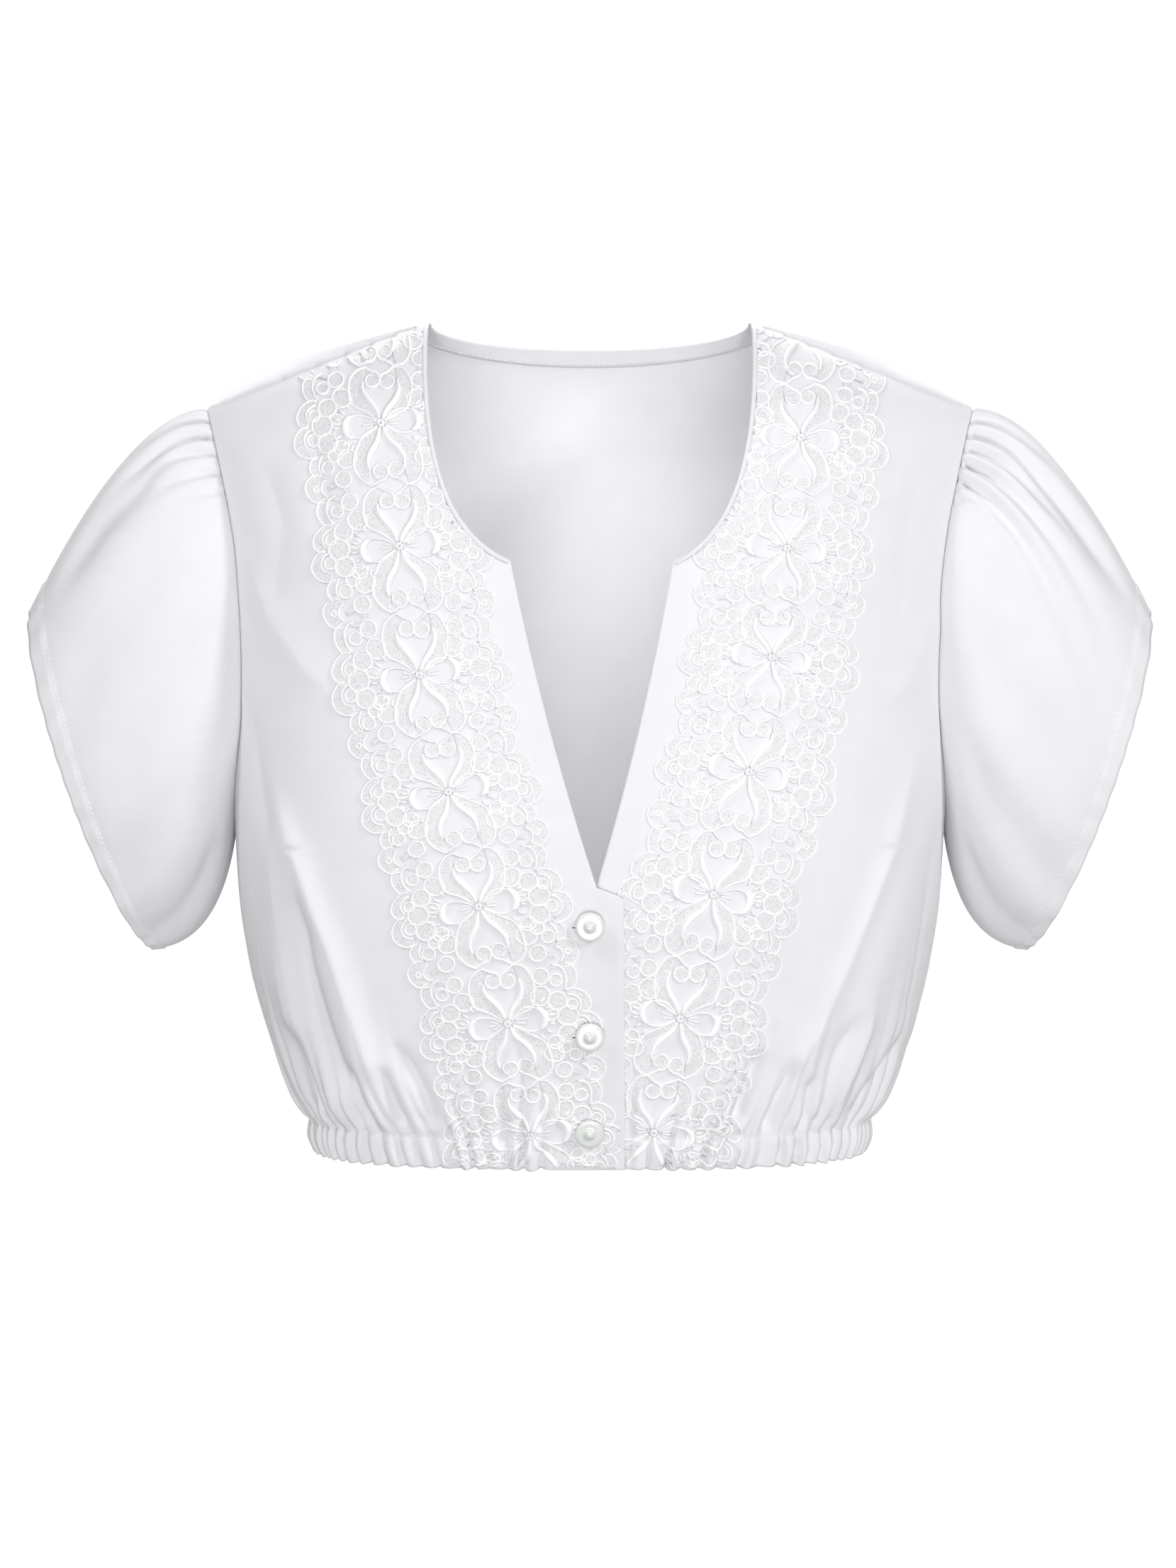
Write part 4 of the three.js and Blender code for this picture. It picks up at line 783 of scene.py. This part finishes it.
# The crescents and strips of the border: outer line, inner line, eye and radius of the curl inside
BORDER = [
    ([(29.6, 14.4), (33.6, 14.8), (38, 12.2), (40.4, 7.8), (39.2, 3.8), (35.4, 2.4)],
     [(29.8, 12.6), (32.8, 12), (35.4, 9.4), (35.2, 6), (33.4, 4.2)], (31.8, 7.6, 2.5)),
    ([(34.4, 3.4), (38.8, 2.4), (42.4, -1.6), (42.6, -6.4), (39.2, -10.4), (33.6, -11.4)],
     [(33.4, 1.8), (36.4, 0.6), (38, -2.8), (36.8, -6.4), (32.6, -8)], (33.6, -3.0, 2.7)),
    ([(31.6, -10.2), (35.6, -12), (37, -16), (34.8, -20.6)],
     [(29.8, -9.8), (31.8, -12.4), (32.6, -16.2), (31, -19.4)], None),
    ([(31, -19.6), (35.8, -18.8), (39.8, -22), (40, -27), (36.6, -31.2), (31.4, -31.6)],
     [(29.6, -21.4), (32.2, -23), (33, -26.4), (30.4, -29.6)], (35.4, -25.2, 1.2)),
    ([(31.4, 27.4), (35.2, 25.6), (36.8, 21.4), (35.6, 17), (33.4, 14)],
     [(26, 27.6), (30, 26), (31.8, 22), (31, 17.6), (29.4, 14.2)], None),
]
# Narrow ribbons of net that carry the rings: line, width
RIBBONS = [
    ([(20.5, 26), (20.2, 19), (19, 11), (25, 5), (25, -4), (20, -11), (21.5, -21), (21, -31)], 3.0),
    ([(27, 20), (31, 19)], 2.2), ([(28.4, -16.4), (32, -15)], 2.2), ([(28.6, 2.6), (34, 4)], 3.0),
    ([(21.4, -23), (30, -26)], 2.2), ([(20.2, 24), (29, 27)], 2.2),
]
RAY_COUNT = 7
CORD_WIDTH, CORD_HEIGHT = 0.86, 0.74
# The cord's half-round section: across and up, as shares of its half width and its height
CORD_PROFILE = [(-1, 0), (-0.75, 0.7), (0, 1), (0.75, 0.7), (1, 0)]
NET_HEIGHT = 0.34
LACE_FOOT = 0.12  # height of the underside over the cloth
CUT_HEIGHT = 0.02  # height of an edge cut off at a seam
SPIRAL_TURNS = 1.1


def smooth_line(points, step):
    """A smooth line through points, as even steps."""
    p = np.array(points, float)
    p = np.concatenate([2 * p[:1] - p[1:2], p, 2 * p[-1:] - p[-2:-1]])
    t = np.linspace(0, 1, 10, endpoint=False)[:, None]
    fine = []
    for a, b, c, d in zip(p, p[1:], p[2:], p[3:]):
        bow, twist = 2 * a - 5 * b + 4 * c - d, 3 * b - a - 3 * c + d
        fine.append(b + 0.5 * ((c - a) * t + bow * t ** 2 + twist * t ** 3))
    fine = np.concatenate(fine + [p[-2:-1]])
    length = np.concatenate([[0], np.cumsum(np.linalg.norm(np.diff(fine, axis=0), axis=1))])
    count = max(6, round(length[-1] / step))
    even = np.linspace(0, length[-1], count + 1)
    return np.stack([np.interp(even, length, fine[:, k]) for k in range(2)], 1)


def resampled(line, count):
    length = np.concatenate([[0], np.cumsum(np.linalg.norm(np.diff(line, axis=0), axis=1))])
    even = np.linspace(0, length[-1], count + 1)
    return np.stack([np.interp(even, length, line[:, k]) for k in range(2)], 1)


def oval_line(out, up, long, short, turn, count=20):
    a = np.linspace(0, 2 * math.pi, count + 1)
    c, s = math.cos(math.radians(turn)), math.sin(math.radians(turn))
    return np.stack([out + long * np.cos(a) * c - short * np.sin(a) * s,
                     up + long * np.cos(a) * s + short * np.sin(a) * c], 1)


def spiral_line(out, up, radius, start, turns, direction, count):
    t = np.linspace(0, 1, count + 1)
    a = start + direction * turns * 2 * math.pi * t
    r = radius * (1 - 0.45 * t ** 2)
    return np.stack([out + r * np.cos(a), up + r * np.sin(a)], 1)


def cord(form, line, width=CORD_WIDTH, height=CORD_HEIGHT, closed=False):
    """A half-round cord along a line of the flat pattern, closed below."""
    n = len(line) - 1
    if closed:
        tangent = np.roll(line[:-1], -1, axis=0) - np.roll(line[:-1], 1, axis=0)
        tangent = np.concatenate([tangent, tangent[:1]])
    else:
        tangent = np.gradient(line, axis=0)
    tangent /= np.linalg.norm(tangent, axis=1, keepdims=True) + 1e-9
    aside = np.stack([-tangent[:, 1], tangent[:, 0]], 1)
    widths = np.atleast_1d(width)
    half = np.interp(np.linspace(0, 1, n + 1), np.linspace(0, 1, len(widths)), widths) / 2
    high = height * np.clip(half * 2 / CORD_WIDTH, 0, 1.25)
    if not closed:
        half[[0, -1]] = 0
        high[[0, -1]] = 0.3
    made = bmesh.ops.create_grid(form, x_segments=n, y_segments=len(CORD_PROFILE), size=0.5)["verts"]
    for vertex in made:
        i = round((vertex.co.x + 0.5) * n)
        j = round((vertex.co.y + 0.5) * len(CORD_PROFILE)) % len(CORD_PROFILE)
        across, rise = CORD_PROFILE[j]
        spot = line[i] + aside[i] * half[i] * across
        vertex.co = (spot[0], spot[1], LACE_FOOT + rise * high[i] if half[i] > 0 else high[i])
    bmesh.ops.remove_doubles(form, verts=made, dist=1e-4)


def net(form, inner, outer, height=NET_HEIGHT, across=2):
    """A raised patch of net between two lines of the flat pattern, closed below."""
    n = max(len(inner), len(outer)) - 1
    inner, outer = resampled(inner, n), resampled(outer, n)
    made = bmesh.ops.create_grid(form, x_segments=n, y_segments=2 * across, size=0.5)["verts"]
    for vertex in made:
        i = round((vertex.co.x + 0.5) * n)
        j = round((vertex.co.y + 0.5) * 2 * across)
        share = j / across if j <= across else 2 - j / across
        spot = inner[i] * (1 - share) + outer[i] * share
        crown = height * (0.7 + 0.3 * math.sin(math.pi * share)) if j <= across else 0
        if j == 2 * across:
            crown = height * 0.7
        vertex.co = (spot[0], spot[1], LACE_FOOT + crown)
    for face in {face for vertex in made for face in vertex.link_faces}:
        face.material_index = 1
    bmesh.ops.remove_doubles(form, verts=made, dist=1e-4)


def lace_half(form, side, drop):
    """Rings, ribbons and border on one side of the flower."""
    place = np.array([side, 1.0])
    shift = np.array([0.0, drop])
    for out, up, long, short, turn in RINGS:
        long, short = long * RING_FULLNESS, short * RING_FULLNESS
        line = oval_line(out, up, long, short, turn, max(16, round(long * 5))) * place + shift
        centre = oval_line(out, up, 0, 0, turn, len(line) - 1) * place + shift
        net(form, centre, line)
        cord(form, line, closed=True)
        if long > 4.1:
            eyelet = oval_line(out, up, long * 0.5, short * 0.5, turn, 12) * place + shift
            cord(form, eyelet, 0.5, 0.6, True)
    for outer, inner, curl in BORDER:
        outer = smooth_line(outer, 1.2) * place + shift
        inner = smooth_line(inner, 1.2) * place + shift
        net(form, inner, outer, across=3)
        cord(form, outer)
        cord(form, inner, 0.9)
        if curl:
            out, up, radius = curl
            line = oval_line(out, up, radius, radius, 0, 16) * place + shift
            net(form, oval_line(out, up, 0, 0, 0, 16) * place + shift, line)
            cord(form, line, closed=True)
    for points, width in RIBBONS:
        line = smooth_line(points, 1.6) * place + shift
        tangent = np.gradient(line, axis=0)
        tangent /= np.linalg.norm(tangent, axis=1, keepdims=True)
        aside = np.stack([-tangent[:, 1], tangent[:, 0]], 1) * width / 2
        net(form, line - aside, line + aside, 0.35)


def lace_repeat():
    form = bmesh.new()
    for arm, outline, (out, up, radius) in LEAVES:
        arm_line, leaf_line = smooth_line(arm, 1.1), smooth_line(outline, 1.3)
        net(form, arm_line, leaf_line, across=3)
        cord(form, arm_line, ARM_WIDTH, 1.15)
        net(form, oval_line(out, up, 0, 0, 0), oval_line(out, up, radius, radius, 0))
        toward = math.atan2(outline[-1][1] - up, outline[-1][0] - out)
        direction = -1 if out * up < 0 else 1
        curl = spiral_line(out, up, radius + 0.2, toward, SPIRAL_TURNS, direction, 28)
        cord(form, np.concatenate([leaf_line, curl[2:]]), [0.8, 1.0, 1.0, 1.0, 0.9, 0.6])
    for outline, pad in LOOPS:
        cord(form, smooth_line(outline, 1.2))
        cord(form, smooth_line(pad, 1.0), [1.2, 2.9, 3.7, 2.9, 1.2], 1.15)
        side = 1 if pad[2][0] > 0 else -1
        for k in range(RAY_COUNT):
            a = math.radians(-66 + 132 * k / (RAY_COUNT - 1))
            root = np.array([side * (10.6 + 8.6 * math.cos(a)), 0.2 + 8.4 * math.sin(a)])
            tip = root + np.array([side * 4.6 * math.cos(a), 4.6 * math.sin(a)])
            cord(form, resampled(np.array([root, tip]), 3), [0.8, 1.1, 0.9], 0.9)
    for vein in VEINS:
        cord(form, resampled(np.array(vein, float), 6), 0.75, 0.6)
    for side in (1, -1):
        lace_half(form, side, 0 if side == 1 else -INNER_DROP)
    cord(form, oval_line(0, 0, 1.3, 1.3, 0, 14), 1.0, 1.15, closed=True)
    for edge in form.edges:
        edge.smooth = max(vertex.co.z for vertex in edge.verts) > LACE_FOOT + 1e-4
    flat = bpy.data.meshes.new("lace_repeat")
    form.to_mesh(flat)
    form.free()
    return flat


repeat_mesh = lace_repeat()


def along_band(name, out, up, flower):
    """The place on a front, in front view, of points of one repeat."""
    centres = np.array(FLOWERS[name], float)
    at = np.clip(flower - up / REPEAT, 1, len(centres) - 2.001)
    i = at.astype(int)
    t = (at - i)[:, None]
    a, b, c, d = (centres[i + k] for k in (-1, 0, 1, 2))
    bow, twist = 2 * a - 5 * b + 4 * c - d, 3 * b - a - 3 * c + d
    spot = b + 0.5 * ((c - a) * t + bow * t ** 2 + twist * t ** 3)
    way = 0.5 * ((c - a) + 2 * bow * t + 3 * twist * t ** 2)
    way /= np.linalg.norm(way, axis=1, keepdims=True)
    return spot + np.stack([-way[:, 1], way[:, 0]], 1) * out[:, None]


def lace_kept(name, x, z):
    """Which points lie inside the seams of the front."""
    rows = front_edge_rows(name)
    edge = np.interp(z, rows[:, 1], rows[:, 0])
    slope = (np.interp(z + 1, rows[:, 1], rows[:, 0]) - np.interp(z - 1, rows[:, 1], rows[:, 0])) / 2
    inside = (x - edge) / np.sqrt(1 + slope ** 2)
    margin = np.where(z > FRONT_EDGES[name]["corner"][1] - 4, 1.6, np.where(z > -262, 9.5, 1.2))
    kept = (inside > margin) & (z > HEM_Z + 0.8) & (z < shoulder_height(np.abs(x)) - 1.2)
    if name == "left":
        kept &= (z > -262) | (x > 12.5)
    return kept


def lace_piece(name):
    form = bmesh.new()
    plan = []
    for flower in range(2, len(FLOWERS[name]) - 2):
        before = len(form.verts)
        form.from_mesh(repeat_mesh)
        form.verts.ensure_lookup_table()
        co = np.array([v.co[:] for v in form.verts[before:]])
        spot = along_band(name, co[:, 0], co[:, 1], flower)
        plan.append(np.column_stack([spot, co[:, 2]]))
    plan = np.concatenate(plan)
    kept = lace_kept(name, plan[:, 0], plan[:, 1])
    form.verts.ensure_lookup_table()
    for vertex, spot in zip(form.verts, plan):
        vertex.co = spot
    lost = [vertex for vertex, stays in zip(form.verts, kept) if not stays]
    bmesh.ops.delete(form, geom=lost, context="VERTS")
    for vertex in form.verts:
        if vertex.is_boundary:
            vertex.co.z = CUT_HEIGHT
    bmesh.ops.delete(form, geom=[v for v in form.verts if not v.link_faces], context="VERTS")
    data = bpy.data.meshes.new(f"lace_{name}_work")
    co = np.array([v.co[:] for v in form.verts])
    place = laid(name, angle_at(co[:, 0], co[:, 1]), co[:, 1], co[:, 2])
    threads = form.loops.layers.uv.new("UVMap")
    for face in form.faces:
        for loop in face.loops:
            loop[threads].uv = (loop.vert.co.x * 0.001, loop.vert.co.y * 0.001)
    for vertex, spot in zip(form.verts, place):
        vertex.co = spot * 0.001
    bmesh.ops.recalc_face_normals(form, faces=form.faces)
    form.to_mesh(data)
    form.free()
    for polygon in data.polygons:
        polygon.use_smooth = polygon.material_index == 0
    piece = bpy.data.objects.new(f"lace_{name}_work", data)
    scene.collection.objects.link(piece)
    data.materials.append(lace_cord)
    data.materials.append(lace_net)
    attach(piece, "root")
    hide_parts(f"lace_{name}", f"lace_hem_{name}")
    return piece


NET_PITCH = 0.00105


def lace_material(name, colour, holes):
    """Thread of the lace: solid and twisted, or a net whose small holes are painted darker, as painted shade
    for the cloth seen through them.
    """
    material = bpy.data.materials.new(name)
    material.use_nodes = True
    tree = material.node_tree
    shader = tree.nodes["Principled BSDF"]
    shader.inputs["Roughness"].default_value = 0.6
    shader.inputs["Specular IOR Level"].default_value = 0.3
    shader.inputs["Sheen Weight"].default_value = 0.15
    place = tree.nodes.new("ShaderNodeTexCoord")
    bump = tree.nodes.new("ShaderNodeBump")
    if holes:
        cells = tree.nodes.new("ShaderNodeTexVoronoi")
        cells.feature = "DISTANCE_TO_EDGE"
        cells.inputs["Scale"].default_value = 1 / NET_PITCH
        # The ramp colours the middle of each net cell darker than its threads: painted shade in the net's
        # holes.
        ramp = tree.nodes.new("ShaderNodeValToRGB")
        ramp.color_ramp.elements[0].position = 0.1
        ramp.color_ramp.elements[0].color = colour
        ramp.color_ramp.elements[1].position = 0.36
        ramp.color_ramp.elements[1].color = tuple(c * 0.76 for c in colour[:3]) + (1,)
        bump.inputs["Strength"].default_value = 1.0
        bump.inputs["Distance"].default_value = 0.0003
        bump.invert = True
        joined(
            tree,
            (place.outputs["UV"], cells.inputs["Vector"]),
            (cells.outputs["Distance"], ramp.inputs["Fac"]),
            (ramp.outputs["Color"], shader.inputs["Base Color"]),
            (cells.outputs["Distance"], bump.inputs["Height"]),
            (bump.outputs["Normal"], shader.inputs["Normal"]),
        )
    else:
        twist = tree.nodes.new("ShaderNodeTexNoise")
        twist.inputs["Scale"].default_value = 1500
        shader.inputs["Base Color"].default_value = colour
        bump.inputs["Strength"].default_value = 0.35
        bump.inputs["Distance"].default_value = 0.0002
        joined(
            tree,
            (place.outputs["Object"], twist.inputs["Vector"]),
            (twist.outputs["Fac"], bump.inputs["Height"]),
            (bump.outputs["Normal"], shader.inputs["Normal"]),
        )
    return material


lace_cord = lace_material("lace_cord", (0.9, 0.9, 0.912, 1), False)
lace_net = lace_material("lace_net", (0.77, 0.77, 0.785, 1), True)
lace_right = lace_piece("right")
lace_left = lace_piece("left")

# Neck edge: along the curve of each front's neck the cotton is turned over the lace's edge
# as a narrow flat rib.
NECK_EDGE_WIDTH = 2.4


def plain_piece(name, form, material):
    data = bpy.data.meshes.new(name)
    bmesh.ops.recalc_face_normals(form, faces=form.faces)
    form.to_mesh(data)
    form.free()
    for polygon in data.polygons:
        polygon.use_smooth = True
    data.materials.append(material)
    piece = bpy.data.objects.new(name, data)
    scene.collection.objects.link(piece)
    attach(piece, "root")
    return piece


def lay_flat_form(name, form):
    """Lays a form drawn flat in front view (distance from the middle, height, lift) on a front."""
    co = np.array([v.co[:] for v in form.verts])
    place = laid(name, angle_at(co[:, 0], co[:, 1]), co[:, 1], co[:, 2])
    for vertex, spot in zip(form.verts, place):
        vertex.co = spot * 0.001


for name in ("right", "left"):
    corner = FRONT_EDGES[name]["corner"]
    line = resampled(neck_curve(corner, np.linspace(0, 0.985, 80)), 150)
    tangent = np.gradient(line, axis=0)
    tangent /= np.linalg.norm(tangent, axis=1, keepdims=True)
    inward = np.stack([tangent[:, 1], -tangent[:, 0]], 1) * (NECK_EDGE_WIDTH / 2 + 0.1)
    form = bmesh.new()
    cord(form, line + inward, [1.2] + [NECK_EDGE_WIDTH] * 12, 0.5)
    lay_flat_form(name, form)
    edge = plain_piece(f"neck_edge_{name}", form, cotton)

# Buttons: three round shank buttons of pearly plastic down the right front, each with a domed knob in the
# middle. They are spun round their shank, and stand on the lace and the cloth where they are sewn.
BUTTON_HEIGHTS = {"top": -284.2, "middle": -336.0, "bottom": -382.0}
BUTTON_SEAT = 0.4
# Columns: distance from the shank's axis, height over the cloth
BUTTON_PROFILE = [
    (0, 0.3), (1.5, 0.3), (1.5, 1.6), (5.0, 1.7), (6.4, 2.05), (6.9, 2.6), (6.75, 3.05),
    (6.2, 3.35), (5.2, 3.45), (3.6, 3.3), (2.9, 3.36), (2.5, 3.62), (2.2, 4.05), (1.8, 4.45),
    (1.2, 4.74), (0.6, 4.86), (0, 4.88),
]
BUTTON_TURNS = 64

pearl = bpy.data.materials.new("pearl_plastic")
pearl.use_nodes = True
pearl_shader = pearl.node_tree.nodes["Principled BSDF"]
pearl_shader.inputs["Roughness"].default_value = 0.26
pearl_shader.inputs["Coat Weight"].default_value = 0.35
pearl_shader.inputs["Coat Roughness"].default_value = 0.12
pearl_shader.inputs["Subsurface Weight"].default_value = 0.25
pearl_shader.inputs["Subsurface Radius"].default_value = (0.001, 0.001, 0.001)
pearl_shader.inputs["Subsurface Scale"].default_value = 1.0
pearl_place = pearl.node_tree.nodes.new("ShaderNodeTexCoord")
pearl_cloud = pearl.node_tree.nodes.new("ShaderNodeTexNoise")
pearl_cloud.inputs["Scale"].default_value = 260
pearl_cloud.inputs["Detail"].default_value = 3
pearl_cloud.inputs["Distortion"].default_value = 1.2
pearl_tone = pearl.node_tree.nodes.new("ShaderNodeMix")
pearl_tone.data_type = "RGBA"
pearl_tone.inputs[6].default_value = (0.66, 0.68, 0.66, 1)
pearl_tone.inputs[7].default_value = (0.76, 0.78, 0.75, 1)
joined(
    pearl.node_tree,
    (pearl_place.outputs["Object"], pearl_cloud.inputs["Vector"]),
    (pearl_cloud.outputs["Fac"], pearl_tone.inputs[0]),
    (pearl_tone.outputs[2], pearl_shader.inputs["Base Color"]),
)


def cloth_frame(name, x, z):
    """Where a front's cloth is at a place of the front view, and the way it faces."""
    a = float(angle_at(x, z))
    seat = laid(name, np.array([a]), np.array([float(z)]), np.array([BUTTON_SEAT]))[0]
    facing = outward(-1 if name == "right" else 1, FRONT, np.array([a]), np.array([float(z)]))[0]
    return Vector(seat) * 0.001, Vector(facing)


for button_name, height in BUTTON_HEIGHTS.items():
    seat, facing = cloth_frame("right", 0, height)
    form = bmesh.new()
    ring = [form.verts.new((r * 0.001, 0, h * 0.001)) for r, h in BUTTON_PROFILE]
    edges = [form.edges.new(pair) for pair in zip(ring, ring[1:])]
    bmesh.ops.spin(form, geom=ring + edges, cent=(0, 0, 0), axis=(0, 0, 1), angle=2 * math.pi,
                   steps=BUTTON_TURNS, use_merge=True)
    bmesh.ops.remove_doubles(form, verts=form.verts, dist=1e-6)
    turn = facing.to_track_quat("Z", "Y").to_matrix()
    bmesh.ops.rotate(form, verts=form.verts, cent=(0, 0, 0), matrix=turn)
    bmesh.ops.translate(form, verts=form.verts, vec=seat)
    button = plain_piece(f"button_{button_name}_pearl", form, pearl)
    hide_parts(f"button_{button_name}")

# Buttonholes: a slit across the right front behind each upper button, worked round with close thread.
# Only its outer end shows past the button's rim, as a small dark hole: a thin dark sheet laid in the slit,
# whose darkness is painted shade for the shadow inside it.
BUTTONHOLE_CENTRE, BUTTONHOLE_HALF_LENGTH, BUTTONHOLE_HALF_WIDTH = 5.0, 3.8, 0.95
BUTTONHOLE_LIFT = 0.5  # it is worked through the lace
# The dark sheet in each slit: painted shade standing for the shadow inside the buttonhole.
shade = bpy.data.materials.new("shaded_hole")
shade.use_nodes = True
shade_tree = shade.node_tree
shade_shader = shade_tree.nodes["Principled BSDF"]
shade_shader.inputs["Roughness"].default_value = 0.9
shade_fibres = shade_tree.nodes.new("ShaderNodeTexNoise")
shade_fibres.inputs["Scale"].default_value = 2500
shade_place = shade_tree.nodes.new("ShaderNodeTexCoord")
shade_tone = shade_tree.nodes.new("ShaderNodeMix")
shade_tone.data_type = "RGBA"
shade_tone.inputs[6].default_value = (0.10, 0.088, 0.08, 1)
shade_tone.inputs[7].default_value = (0.16, 0.14, 0.13, 1)
joined(
    shade_tree,
    (shade_place.outputs["Object"], shade_fibres.inputs["Vector"]),
    (shade_fibres.outputs["Fac"], shade_tone.inputs[0]),
    (shade_tone.outputs[2], shade_shader.inputs["Base Color"]),
)
for button_name in ("top", "middle"):
    height = BUTTON_HEIGHTS[button_name] - 0.6
    slit = oval_line(BUTTONHOLE_CENTRE, height, BUTTONHOLE_HALF_LENGTH, BUTTONHOLE_HALF_WIDTH, 0, 32)
    form = bmesh.new()
    cord(form, slit, 0.8, 0.8, closed=True)
    bmesh.ops.translate(form, verts=form.verts, vec=(0, 0, BUTTONHOLE_LIFT))
    lay_flat_form("right", form)
    thread = plain_piece(f"buttonhole_{button_name}", form, lace_cord)
    form = bmesh.new()
    net(form, oval_line(BUTTONHOLE_CENTRE, height, 3.2, 0.05, 0, 32), slit, 0.12, across=1)
    bmesh.ops.translate(form, verts=form.verts, vec=(0, 0, BUTTONHOLE_LIFT))
    lay_flat_form("right", form)
    hole = plain_piece(f"buttonhole_{button_name}_hole", form, shade)

# Stitches: white sewing thread, one small rounded stitch after another, along the sleeve hems, the elastic
# at the waist and the binding of the neck.
STITCH_LENGTH, STITCH_GAP, STITCH_THICKNESS = 1.7, 0.9, 0.52


def stitch_row(name, line, facing):
    """Stitches along a line of points in millimetres, each lying on cloth that faces the given way."""
    marks = np.concatenate([[0], np.cumsum(np.linalg.norm(np.diff(line, axis=0), axis=1))])
    count = int(marks[-1] / (STITCH_LENGTH + STITCH_GAP))
    form = bmesh.new()
    for k in range(count):
        start = (k + 0.25) * marks[-1] / count
        end = start + STITCH_LENGTH
        a, b = (np.array([np.interp(q, marks, line[:, c]) for c in range(3)]) for q in (start, end))
        normal = np.array([np.interp(start + STITCH_LENGTH / 2, marks, facing[:, c]) for c in range(3)])
        way = Vector((b - a) / np.linalg.norm(b - a))
        up = Vector(normal).normalized()
        side = up.cross(way).normalized()
        turn = Matrix((way, side, way.cross(side))).transposed().to_4x4()
        turn.translation = Vector((a + b) / 2) * 0.001
        made = bmesh.ops.create_icosphere(form, subdivisions=1, radius=0.5)["verts"]
        extent = (STITCH_LENGTH * 1.15, STITCH_THICKNESS, STITCH_THICKNESS * 0.8, 1000)
        bmesh.ops.transform(form, verts=made, matrix=turn @ (Matrix.Diagonal(extent) * 0.001))
    piece = plain_piece(name, form, lace_cord)


x, z = under_neck(BINDING_WIDTH - BINDING_SEAM)
neck_facing = -outward(1, BACK, angle_at(x, z), z)
neck_stitches = laid("back", angle_at(x, z), z, np.full_like(z, BINDING_LIFT - 0.55))
stitch_row("neck_binding_stitches", neck_stitches[6:-6], neck_facing[6:-6])
for name in ("right", "left"):
    hem_points = sleeve_points(name)
    row = round((HEM_SHARE ** (1 / SLEEVE_ROW_BIAS)) * SLEEVE_ROWS)
    across = np.roll(hem_points[row], -1, axis=0) - np.roll(hem_points[row], 1, axis=0)
    facing = np.cross(across, hem_points[row + 1] - hem_points[row - 1]) * (-1 if name == "right" else 1)
    facing /= np.linalg.norm(facing, axis=1, keepdims=True)
    stitch_row(f"sleeve_{name}_stitches", hem_points[row] + facing * 0.15, facing)
    span = np.linspace(float(angle_at(FLAT_STAND[name] + 4, CASING_TOP_Z)), math.pi / 2 - 0.02, 260)
    height = np.full_like(span, CASING_TOP_Z - 0.8)
    stitch_row(f"waist_{name}_stitches", laid(name, span, height, np.full_like(span, 0.1)),
               outward(-1 if name == "right" else 1, FRONT, span, height))
span = np.linspace(-math.pi / 2 + 0.02, math.pi / 2 - 0.02, 520)
height = np.full_like(span, CASING_TOP_Z - 0.8)
stitch_row("waist_back_stitches", laid("back", span, height, np.full_like(span, 0.1)),
           outward(1, BACK, span, height))
